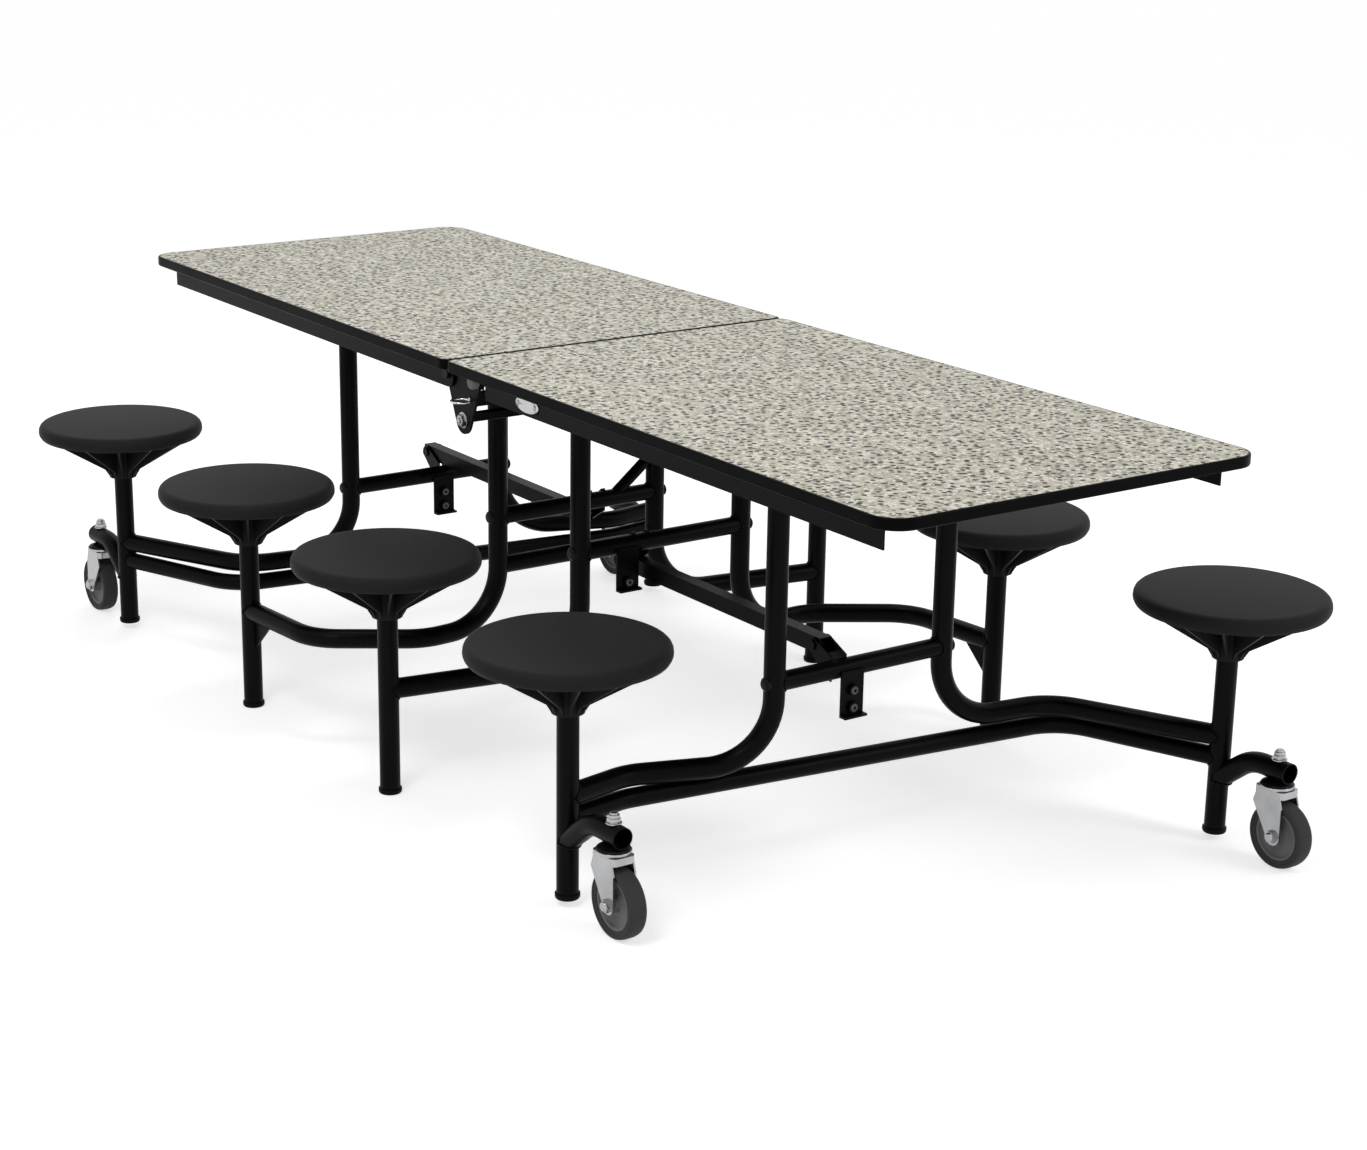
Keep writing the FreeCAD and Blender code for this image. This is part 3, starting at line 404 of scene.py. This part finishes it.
CAP_SEGMENTS = 40
LEG_X = {"end": 0.715, "inner": 0.140}
BOLT_Z = {"end": 0.320, "inner": 0.395}
LEG_FACE_Y = 0.194
BUTTON_RADIUS = 0.0118
BUTTON_SUNK = -0.005
BUTTON_RIM = 0.001
BUTTON_SHOULDER = (0.008, 0.0045)
BUTTON_TOP = 0.005
STAMPED_EDGE = 0.0006
OXIDE_MOTTLE = 0.004
QUARTER = math.radians(90)
BUTTON = [(0, BUTTON_SUNK, 0), (BUTTON_RADIUS, BUTTON_SUNK, 0), (BUTTON_RADIUS, BUTTON_RIM, STAMPED_EDGE),
          (*BUTTON_SHOULDER, ROUND), (0, BUTTON_TOP, 0)]
black_oxide, tree, shader, place = start_material("black_oxide_steel", "101010", shine=0.1)
vary(tree, shader, place, OXIDE_MOTTLE, low=0.3, high=0.45)


# Stands a profile on a face that looks along Y, so that its height points outward.
def on_face(x, y, z, outward):
    return Matrix.Translation((x, y, z)) @ Matrix.Rotation(-outward * QUARTER, 4, "X")


for half, way in HALVES.items():
    for kind in KINDS:
        shape = bmesh.new()
        for side in (-1, 1):
            spot = on_face(way * LEG_X[kind], side * LEG_FACE_Y, BOLT_Z[kind], side)
            lathe(shape, BUTTON, spot, CAP_SEGMENTS)
        piece = finish_piece(f"{half}_{kind}_leg_bolts", shape, black_oxide, f"{half}_{kind}_frame")
        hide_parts(f"{half}_{kind}_fittings")
    paint_node(half + "_pivot_pins", black_oxide)


# Caster stems
# Each stem is screwed through its outrigger tube and held by a washer, a lock nut and the
# stem's own end. Below the tube are a black saucer, a swivel race and a riveted collar. The
# bright parts are zinc plated, a slightly cloudy bright metal.

HEXAGON = 6
NUT_SHARP = 30
NUT_EDGE = 0.0004
STEM_REACH = 0.130
TUBE_TOP = 0.183
OUTRIGGER_LOW = 0.147
CROWN_TOP = 0.1364
CROWN_LOW = 0.1237
WASHER_RADIUS = 0.013
WASHER_TOP = 0.002
NUT_RADIUS = 0.011
NUT_SHOULDER = 0.0085
NUT_CROWN_RADIUS = 0.0088
NUT_TOP = 0.01
LOCK_RADIUS = 0.0092
LOCK_TOP = 0.0148
STEM_RADIUS = 0.0066
STEM_TOP = 0.018
STEM_ROUNDING = 0.0012
RACE_RADIUS = 0.029
RACE_LIP = 0.005
RACE_TOP = 0.0055
RACE_NECK_RADIUS = 0.02
COLLAR_RADIUS = 0.009
COLLAR_DEPTH = 0.004
COLLAR_LIP = 0.003
SAUCER_RADIUS = 0.028
SAUCER_GAP = 0.0001
SAUCER_SHOULDER_RADIUS = 0.026
SAUCER_SHOULDER_DROP = 0.002
SAUCER_TOP_RADIUS = 0.018
ZINC_CLOUD = 0.03
WASHER = [(0, 0, 0), (WASHER_RADIUS, 0, FINE), (WASHER_RADIUS, WASHER_TOP, STAMPED_EDGE),
          (0, WASHER_TOP, 0)]
NUT = [(0, WASHER_TOP, 0), (NUT_RADIUS, WASHER_TOP, 0), (NUT_RADIUS, NUT_SHOULDER, NUT_EDGE),
       (NUT_CROWN_RADIUS, NUT_TOP, STAMPED_EDGE), (0, NUT_TOP, 0)]
STEM_END = [(0, NUT_TOP, 0), (LOCK_RADIUS, NUT_TOP, HAIR), (LOCK_RADIUS, LOCK_TOP, SOFT),
            (STEM_RADIUS, LOCK_TOP, 0), (STEM_RADIUS, STEM_TOP, STEM_ROUNDING), (0, STEM_TOP, 0)]
RACE = [(0, CROWN_TOP, 0), (RACE_RADIUS, CROWN_TOP, SOFT), (RACE_RADIUS, CROWN_TOP + RACE_LIP, SOFT),
        (RACE_NECK_RADIUS, CROWN_TOP + RACE_TOP, 0), (0, CROWN_TOP + RACE_TOP, 0)]
COLLAR = [(0, CROWN_LOW - COLLAR_DEPTH, 0), (COLLAR_RADIUS, CROWN_LOW - COLLAR_LIP, SMALL),
          (COLLAR_RADIUS, CROWN_LOW, 0), (0, CROWN_LOW, 0)]
saucer_low = CROWN_TOP + RACE_TOP + SAUCER_GAP
SAUCER = [(0, saucer_low, 0), (SAUCER_RADIUS, saucer_low, SMALL),
          (SAUCER_SHOULDER_RADIUS, OUTRIGGER_LOW - SAUCER_SHOULDER_DROP, ROUND),
          (SAUCER_TOP_RADIUS, OUTRIGGER_LOW, SMALL), (0, OUTRIGGER_LOW, 0)]
zinc, tree, shader, place = start_material("bright_zinc_plate", metallic=1.0)
clouds = vary(tree, shader, place, ZINC_CLOUD, low=0.22, high=0.32, detail=1.0)
tint = add(tree, "ShaderNodeMix", {"Factor": clouds, "A": linear("97989A"), "B": linear("B7B8BA")},
           data_type="RGBA").outputs[2]
tree.links.new(tint, shader.inputs["Base Color"])
for half, way in HALVES.items():
    nuts = bmesh.new()
    saucers = bmesh.new()
    for foot in feet[half, "end"]:
        stem = Matrix.Translation(foot + Vector((way * STEM_REACH, 0, 0)))
        above = stem @ Matrix.Translation((0, 0, TUBE_TOP))
        lathe(nuts, WASHER, above)
        lathe(nuts, NUT, above, HEXAGON)
        lathe(nuts, STEM_END, above)
        lathe(nuts, RACE, stem)
        lathe(nuts, COLLAR, stem)
        lathe(saucers, SAUCER, stem)
    finish_piece(half + "_caster_saucers", saucers, black_oxide, half + "_end_frame")
    finish_piece(half + "_caster_nuts", nuts, zinc, half + "_end_frame", NUT_SHARP)


# Pull ring
# A ring of bent round wire on the end of the latch plunger. It is polished and chrome
# plated, so it mirrors the room, with faint smears from handling.

SMEAR = 0.01
chrome, tree, shader, place = start_material("polished_chrome", "D8D9DB", metallic=1.0)
vary(tree, shader, place, SMEAR, low=0.06, high=0.14)
paint_node("pull_ring", chrome)


# Hinge rod nuts
# A zinc plated washer and lock nut on each end of the rod that ties the lower points of the
# two hinge plates together.

BOLT_SEGMENTS = 32
HINGE_FACE_Y = 0.3303
HINGE_ROD_Z = 0.626
ROD_WASHER_RADIUS = 0.0145
ROD_WASHER_TOP = 0.0016
ROD_NUT_RADIUS = 0.0114
ROD_NUT_SHOULDER = 0.0075
ROD_NUT_CROWN_RADIUS = 0.0095
ROD_NUT_TOP = 0.0086
ROD_END_RADIUS = 0.0052
ROD_END_TOP = 0.0112
ROD_WASHER = [(0, 0, 0), (ROD_WASHER_RADIUS, 0, NUT_EDGE), (ROD_WASHER_RADIUS, ROD_WASHER_TOP, FINE),
              (0, ROD_WASHER_TOP, 0)]
ROD_NUT = [(0, ROD_WASHER_TOP, 0), (ROD_NUT_RADIUS, ROD_WASHER_TOP, 0),
           (ROD_NUT_RADIUS, ROD_NUT_SHOULDER, NUT_EDGE), (ROD_NUT_CROWN_RADIUS, ROD_NUT_TOP, STAMPED_EDGE),
           (0, ROD_NUT_TOP, 0)]
ROD_END = [(0, ROD_NUT_TOP, 0), (ROD_END_RADIUS, ROD_NUT_TOP, 0), (ROD_END_RADIUS, ROD_END_TOP, SLIGHT),
           (0, ROD_END_TOP, 0)]
shape = bmesh.new()
for side in (-1, 1):
    spot = on_face(0, side * HINGE_FACE_Y, HINGE_ROD_Z, side)
    lathe(shape, ROD_WASHER, spot)
    lathe(shape, ROD_NUT, spot, HEXAGON)
    lathe(shape, ROD_END, spot, BOLT_SEGMENTS)
finish_piece("hinge_rod_nuts", shape, zinc, "centre_hinge", NUT_SHARP)


# Hanging plate screws
# Zinc plated steel socket screws that hold the hanging plates, two in each end plate and
# one in the inner one. They have dulled to grey, and the socket in the middle is dark.

HANGER_FACE = 0.020
HANGER_HEAD = 0.0058
END_HANGER_Y = 0.030
INNER_HANGER_Y = 0.087
END_SCREW_Z = (0.257, 0.287)
INNER_SCREW_Z = (0.332,)
SOCKET_RADIUS = 0.0026
SCREW_RADIUS = 0.0072
SCREW_RIM = (0.0068, 0.0012)
SCREW_TOP = (0.003, 0.002)
SCREW = [(SOCKET_RADIUS, 0, 0), (SCREW_RADIUS, 0, 0), (*SCREW_RIM, FINE), (*SCREW_TOP, FINE)]
DULL_PATCH = 0.004
dull_zinc, tree, shader, place = start_material("dull_zinc_plate", "515254", metallic=1.0)
vary(tree, shader, place, DULL_PATCH, low=0.42, high=0.55)
for half, kind, hanger_y, heights in (("near", "end", END_HANGER_Y, END_SCREW_Z),
                                      ("far", "end", END_HANGER_Y, END_SCREW_Z),
                                      ("near", "inner", INNER_HANGER_Y, INNER_SCREW_Z)):
    way = HALVES[half]
    shape = bmesh.new()
    for height in heights:
        face_x = way * LEG_X[kind] + HANGER_FACE + HANGER_HEAD
        spot = Matrix.Translation((face_x, -way * hanger_y, height)) @ Matrix.Rotation(QUARTER, 4, "Y")
        lathe(shape, SCREW, spot, BOLT_SEGMENTS, closed=True)
    finish_piece(f"{half}_{kind}_hanger_screws", shape, dull_zinc, f"{half}_{kind}_frame")


# Weld beads
# Where the tubes of a frame meet, a rippled bead of weld under the powder coat runs round
# the saddle of the joint.

BEAD_RADIUS = 0.0026
BEAD_TIP = BEAD_RADIUS * 0.8
BEAD_SIDE = BEAD_RADIUS * 0.5
BEAD_SEGMENTS = 8
BEAD_COUNT = 34
POST_RADIUS = 0.018
ARM_RADIUS = 0.018
LOWER_TUBE_RADIUS = 0.0163
CROSS_TUBE_RADIUS = 0.016
END_ARM_Z = 0.184
LOWER_TUBE_Z = 0.146
INNER_ARM_Z = 0.190
LEG_Y = 0.176
OUTRIGGER_FOOT_Z = 0.108
OUTRIGGER_RISE = Vector((0.072, 0, 0.057))
# The bend of each tube that is nearest to the left and to the right post of the near half.
# The left inner arm has no bend, so its leg stands in for one.
END_ARM_BENDS = ((0.636, -0.408), (0.745, 0.400))
LOWER_TUBE_BENDS = ((0.640, -0.415), (0.745, 0.425))
INNER_ARM_BENDS = ((0.140, -0.176), (0.235, 0.5163))
TUBES = {"end": ((END_ARM_BENDS, END_ARM_Z, ARM_RADIUS),
                 (LOWER_TUBE_BENDS, LOWER_TUBE_Z, LOWER_TUBE_RADIUS)),
         "inner": ((INNER_ARM_BENDS, INNER_ARM_Z, ARM_RADIUS),)}
bead = bmesh.new()
lathe(bead, [(0, -BEAD_TIP, 0), (BEAD_TIP, -BEAD_SIDE, 0), (BEAD_RADIUS, 0, 0), (BEAD_TIP, BEAD_SIDE, 0),
             (0, BEAD_TIP, 0)], Matrix(), BEAD_SEGMENTS)
one_bead = finish_piece("weld_ripple", bead, powder_coat, None)
beads = {radius: ring_mesh(one_bead, BEAD_COUNT, radius, POST_RADIUS, powder_coat)
         for radius in (ARM_RADIUS, LOWER_TUBE_RADIUS, CROSS_TUBE_RADIUS)}
bpy.data.objects.remove(one_bead)


def weld(shape, place, toward, radius):
    along = (toward - place).normalized()
    side = Vector((0, 0, 1)).cross(along).normalized()
    facing = Matrix((side, along.cross(side), along)).transposed().to_4x4()
    add_mesh(shape, beads[radius], Matrix.Translation(place) @ facing)


for half, way in HALVES.items():
    turn = Matrix.Rotation(0 if way > 0 else math.pi, 4, "Z")
    for kind in KINDS:
        shape = bmesh.new()
        posts = [turn @ foot for foot in feet[half, kind]][::way]
        for bends, height, radius in TUBES[kind]:
            for post, bend in zip(posts, bends):
                weld(shape, Vector((post.x, post.y, height)), Vector((*bend, height)), radius)
        for side in (-1, 1):
            leg = Vector((LEG_X[kind], side * LEG_Y, BOLT_Z[kind]))
            weld(shape, leg, leg - Vector((0, side, 0)), CROSS_TUBE_RADIUS)
        if kind == "end":
            for post in posts:
                start = Vector((post.x, post.y, OUTRIGGER_FOOT_Z))
                weld(shape, start, start + OUTRIGGER_RISE, ARM_RADIUS)
        bmesh.ops.transform(shape, matrix=turn, verts=shape.verts)
        finish_piece(f"{half}_{kind}_weld_beads", shape, powder_coat, f"{half}_{kind}_frame")


# Caster wheels
# A zinc plated fork holds a dull grey rubber tyre with a shallow line on each side. The hub
# is moulded in satin grey plastic with a rim, a dished web and a boss. A domed cover sits on
# each end of the axle bolt.

WHEEL_RADIUS = 0.057
TREAD_HALF = 0.009
TYRE_HALF = 0.016
TYRE_CORNER_RADIUS = 0.0545
TYRE_SHOULDER_RADIUS = 0.05
TYRE_LINE = (0.0485, -0.014)
TYRE_BEAD = (0.046, -0.0145)
TYRE_SEAT_RADIUS = 0.043
TYRE_SEAT_HALF = 0.0135
RIM_HALF = 0.0125
RIM_INSIDE_RADIUS = 0.0385
DISH_OUTSIDE = (0.0365, 0.007)
DISH_INSIDE = (0.022, 0.0045)
BOSS_FOOT = (0.0145, 0.006)
BOSS_RADIUS = 0.013
BOSS_HALF = 0.017
AXLE_BORE = 0.0053
TRAIL = 0.016
BOLT_FACE_Y = 0.0275
DOME_RADIUS = 0.0085
DOME_SHOULDER = (0.0075, 0.0035)
DOME_TOP = 0.005
RUBBER_GRAIN = 0.004
HUB_GRAIN = 0.005


def mirrored(points):
    return [(radius, -height, size) for radius, height, size in points[::-1]]


half_tyre = [(TYRE_SEAT_RADIUS, -TYRE_SEAT_HALF, 0), (*TYRE_BEAD, SMALL), (*TYRE_LINE, SLIGHT),
             (TYRE_SHOULDER_RADIUS, -TYRE_HALF, SMALL), (TYRE_CORNER_RADIUS, -TYRE_HALF, WIDE),
             (WHEEL_RADIUS, -TREAD_HALF, FULL)]
TYRE = half_tyre + mirrored(half_tyre)
half_hub = [(TYRE_SEAT_RADIUS, RIM_HALF, SLIGHT), (RIM_INSIDE_RADIUS, RIM_HALF, SMALL),
            (*DISH_OUTSIDE, ROUND), (*DISH_INSIDE, WIDE), (*BOSS_FOOT, SMALL),
            (BOSS_RADIUS, BOSS_HALF, SOFT), (AXLE_BORE, BOSS_HALF, 0)]
HUB = [(TYRE_SEAT_RADIUS, 0, 0)] + half_hub + mirrored(half_hub)
DOME = [(0, 0, 0), (DOME_RADIUS, 0, HAIR), (*DOME_SHOULDER, ROUND), (0, DOME_TOP, 0)]
rubber, tree, shader, place = start_material("grey_rubber", "454444", shine=0.1)
vary(tree, shader, place, RUBBER_GRAIN, low=0.5, high=0.7, bump=0.2, height=0.0004)
hub_plastic, tree, shader, place = start_material("grey_moulded_hub", "7A7A7A", shine=0.15)
vary(tree, shader, place, HUB_GRAIN, low=0.4, high=0.55, bump=0.1, height=0.0003)
for half, way in HALVES.items():
    for side, foot in zip(("left", "right"), feet[half, "end"]):
        name = half + "_" + side
        centre = foot + Vector((way * (STEM_REACH + TRAIL), 0, WHEEL_RADIUS))
        for part, profile, material in (("tyre", TYRE, rubber), ("hub", HUB, hub_plastic)):
            shape = bmesh.new()
            lathe(shape, profile, on_face(*centre, -1), closed=True)
            piece = finish_piece(f"{name}_moulded_{part}", shape, material, name + "_wheel")
            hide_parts(f"{name}_caster_{part}")
        domes = bmesh.new()
        for out in (-1, 1):
            spot = on_face(centre.x, centre.y + out * BOLT_FACE_Y, centre.z, out)
            lathe(domes, DOME, spot, BOLT_SEGMENTS)
        finish_piece(name + "_axle_domes", domes, zinc, name + "_caster")
        paint_node(name + "_caster_fork", zinc)


# Rail plates
# A bare oval plate, stamped from satin aluminium with a raised field, and held to the
# outside of the rail by two zinc plated screws.

SCREW_SEGMENTS = 24
PLATE_X = 0.222
PLATE_Z = 0.698
PLATE_LENGTH = 0.072
PLATE_HEIGHT = 0.028
PLATE_DEPTH = 0.0024
PLATE_FIELD = 0.82
FIELD_DEPTH = 0.0006
PLATE_WALL = 0.7
PLATE_CHAMFER = 0.96
PLATE_SCREW_REACH = 0.026
PLATE_SCREW_RADIUS = 0.0042
PLATE_SCREW_SHOULDER = (0.0036, PLATE_DEPTH + 0.0016)
PLATE_SCREW_TOP = PLATE_DEPTH + 0.002
PLATE_GRAIN = 0.0015
PLATE_SCREW = [(0, PLATE_DEPTH, 0), (PLATE_SCREW_RADIUS, PLATE_DEPTH, 0), (*PLATE_SCREW_SHOULDER, SMALL),
               (0, PLATE_SCREW_TOP, 0)]
rail_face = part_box("near_side_rails")[1].y
stamped, tree, shader, place = start_material("stamped_aluminium", "C9CACB", metallic=1.0)
vary(tree, shader, place, PLATE_GRAIN, low=0.3, high=0.42, bump=0.1, height=0.0002)
for half, way in HALVES.items():
    shape = bmesh.new()
    for share, top in ((1.0, PLATE_DEPTH), (PLATE_FIELD, PLATE_DEPTH + FIELD_DEPTH)):
        oval = Matrix.Diagonal((PLATE_LENGTH / 2 * share, PLATE_HEIGHT / 2 * share, 1, 1))
        lathe(shape, [(0, 0, 0), (1, 0, 0), (1, top * PLATE_WALL, 0), (PLATE_CHAMFER, top, 0), (0, top, 0)],
              on_face(way * PLATE_X, -way * rail_face, PLATE_Z, -way) @ oval)
    finish_piece(half + "_rail_plate", shape, stamped, half + "_top")
    shape = bmesh.new()
    for reach in (-PLATE_SCREW_REACH, PLATE_SCREW_REACH):
        spot = on_face(way * (PLATE_X + reach), -way * rail_face, PLATE_Z, -way)
        lathe(shape, PLATE_SCREW, spot, SCREW_SEGMENTS)
    finish_piece(half + "_rail_plate_screws", shape, zinc, half + "_top")


# Hinge bolt caps and ends
# A cap of dull grey rubber is pushed over the head of the hinge bolt on one side of each
# top. On the other side the bolt shows a small zinc plated end.

HINGE_X = 0.045
HINGE_Z = 0.703
HINGE_BOLT_Y = 0.3306
CAP_OUTSIDE = 0.0125
CAP_INSIDE = 0.0102
CAP_HEM = 0.0002
CAP_SEAT = 0.0062
CAP_WALL_TOP = 0.0085
CAP_TOP_RIM = (0.0105, 0.0125)
CAP_TOP = 0.0135
BOLT_END_RADIUS = 0.0062
BOLT_END_LOW = 0.0056
BOLT_END_SHOULDER = (0.0058, 0.0082)
BOLT_END_TOP = 0.0092
CAP_RUBBER_GRAIN = 0.003
CAP_PROFILE = [(0, CAP_SEAT, 0), (CAP_INSIDE, CAP_SEAT, 0), (CAP_INSIDE, CAP_HEM, 0),
               (CAP_OUTSIDE, CAP_HEM, FINE), (CAP_OUTSIDE, CAP_WALL_TOP, ROUND), (*CAP_TOP_RIM, ROUND),
               (0, CAP_TOP, 0)]
BOLT_END = [(0, BOLT_END_LOW, 0), (BOLT_END_RADIUS, BOLT_END_LOW, 0), (*BOLT_END_SHOULDER, SMALL),
            (0, BOLT_END_TOP, 0)]
cap_rubber, tree, shader, place = start_material("grey_cap_rubber", "8F8F8B", shine=0.3)
vary(tree, shader, place, CAP_RUBBER_GRAIN, low=0.55, high=0.7, bump=0.15, height=0.0003)
for half, way in HALVES.items():
    shape = bmesh.new()
    lathe(shape, CAP_PROFILE, on_face(way * HINGE_X, -way * HINGE_BOLT_Y, HINGE_Z, -way), CAP_SEGMENTS)
    finish_piece(half + "_hinge_bolt_cap", shape, cap_rubber, half + "_top")
    shape = bmesh.new()
    lathe(shape, BOLT_END, on_face(way * HINGE_X, way * HINGE_BOLT_Y, HINGE_Z, way), BOLT_SEGMENTS)
    finish_piece(half + "_hinge_bolt_end", shape, zinc, half + "_top")


# Studio
# A plain white floor, a white surround and four soft round lamps, seen from where the photo
# was taken. Eye and mirror see floor and surround as white, and both give the part less light.

FLOOR_HALF = 30.0
FLOOR_GLOW = 0.62
ROOM_LIGHT = 0.36
WHITE = (1, 1, 1, 1)


def seen_or_mirrored(tree):
    rays = add(tree, "ShaderNodeLightPath").outputs
    return add(tree, "ShaderNodeMath", {0: rays["Is Camera Ray"], 1: rays["Is Glossy Ray"]},
               operation="MAXIMUM").outputs[0]


floor_mesh = bpy.data.meshes.new("floor")
corners = [(-FLOOR_HALF, -FLOOR_HALF, 0), (FLOOR_HALF, -FLOOR_HALF, 0), (FLOOR_HALF, FLOOR_HALF, 0),
           (-FLOOR_HALF, FLOOR_HALF, 0)]
floor_mesh.from_pydata(corners, [], [(0, 1, 2, 3)])
floor = bpy.data.objects.new("floor", floor_mesh)
bpy.context.scene.collection.objects.link(floor)
floor_white, tree, shader, place = start_material("floor_white", "F4F4F4", roughness=0.9)
glow = add(tree, "ShaderNodeMath", {0: seen_or_mirrored(tree), 1: FLOOR_GLOW}, operation="MULTIPLY")
shader.inputs["Emission Color"].default_value = WHITE
tree.links.new(glow.outputs[0], shader.inputs["Emission Strength"])
floor_mesh.materials.append(floor_white)

world = bpy.data.worlds.new("studio")
world.use_nodes = True
bpy.context.scene.world = world
tree = world.node_tree
background = tree.nodes["Background"]
background.inputs["Color"].default_value = WHITE
level = add(tree, "ShaderNodeMapRange", {"Value": seen_or_mirrored(tree), "To Min": ROOM_LIGHT,
                                         "To Max": 1.0})
tree.links.new(level.outputs["Result"], background.inputs["Strength"])

# For each lamp: its place, its width and its power in watts.
LAMPS = (("key_lamp", (1.5, -2.5, 3.5), 1.6, 36), ("fill_lamp", (3.5, 2.0, 2.5), 1.6, 24),
         ("back_lamp", (-3.5, 1.5, 3.5), 2.0, 16), ("top_lamp", (-0.4, 0.0, 4.2), 1.0, 22))
LAMP_TARGET = Vector((0, 0, 0.5))
for name, place, size, power in LAMPS:
    light = bpy.data.lights.new(name, "AREA")
    light.shape = "DISK"
    light.size = size
    light.energy = power
    lamp = bpy.data.objects.new(name, light)
    lamp.location = place
    lamp.rotation_euler = (LAMP_TARGET - Vector(place)).to_track_quat("-Z", "Y").to_euler()
    bpy.context.scene.collection.objects.link(lamp)

PHOTO_WIDTH = 1367
LENS_PIXELS = 2646
SENSOR = 36.0
EYE = Vector((3.9102, -2.6212, 1.7166))
YAW, PITCH, ROLL = (math.radians(angle) for angle in (144.694, -16.854, -0.921))
forward = Vector((math.cos(YAW) * math.cos(PITCH), math.sin(YAW) * math.cos(PITCH), math.sin(PITCH)))
level_right = forward.cross(Vector((0, 0, 1))).normalized()
level_down = forward.cross(level_right)
right = level_right * math.cos(ROLL) + level_down * math.sin(ROLL)
down = level_down * math.cos(ROLL) - level_right * math.sin(ROLL)
lens = bpy.data.cameras.new("photo_camera")
lens.sensor_width = SENSOR
lens.lens = LENS_PIXELS / PHOTO_WIDTH * SENSOR
camera = bpy.data.objects.new("photo_camera", lens)
turn = Matrix((right, -down, -forward)).transposed().to_4x4()
camera.matrix_world = Matrix.Translation(EYE) @ turn
bpy.context.scene.collection.objects.link(camera)
bpy.context.scene.camera = camera
bpy.context.scene.view_settings.view_transform = "Standard"
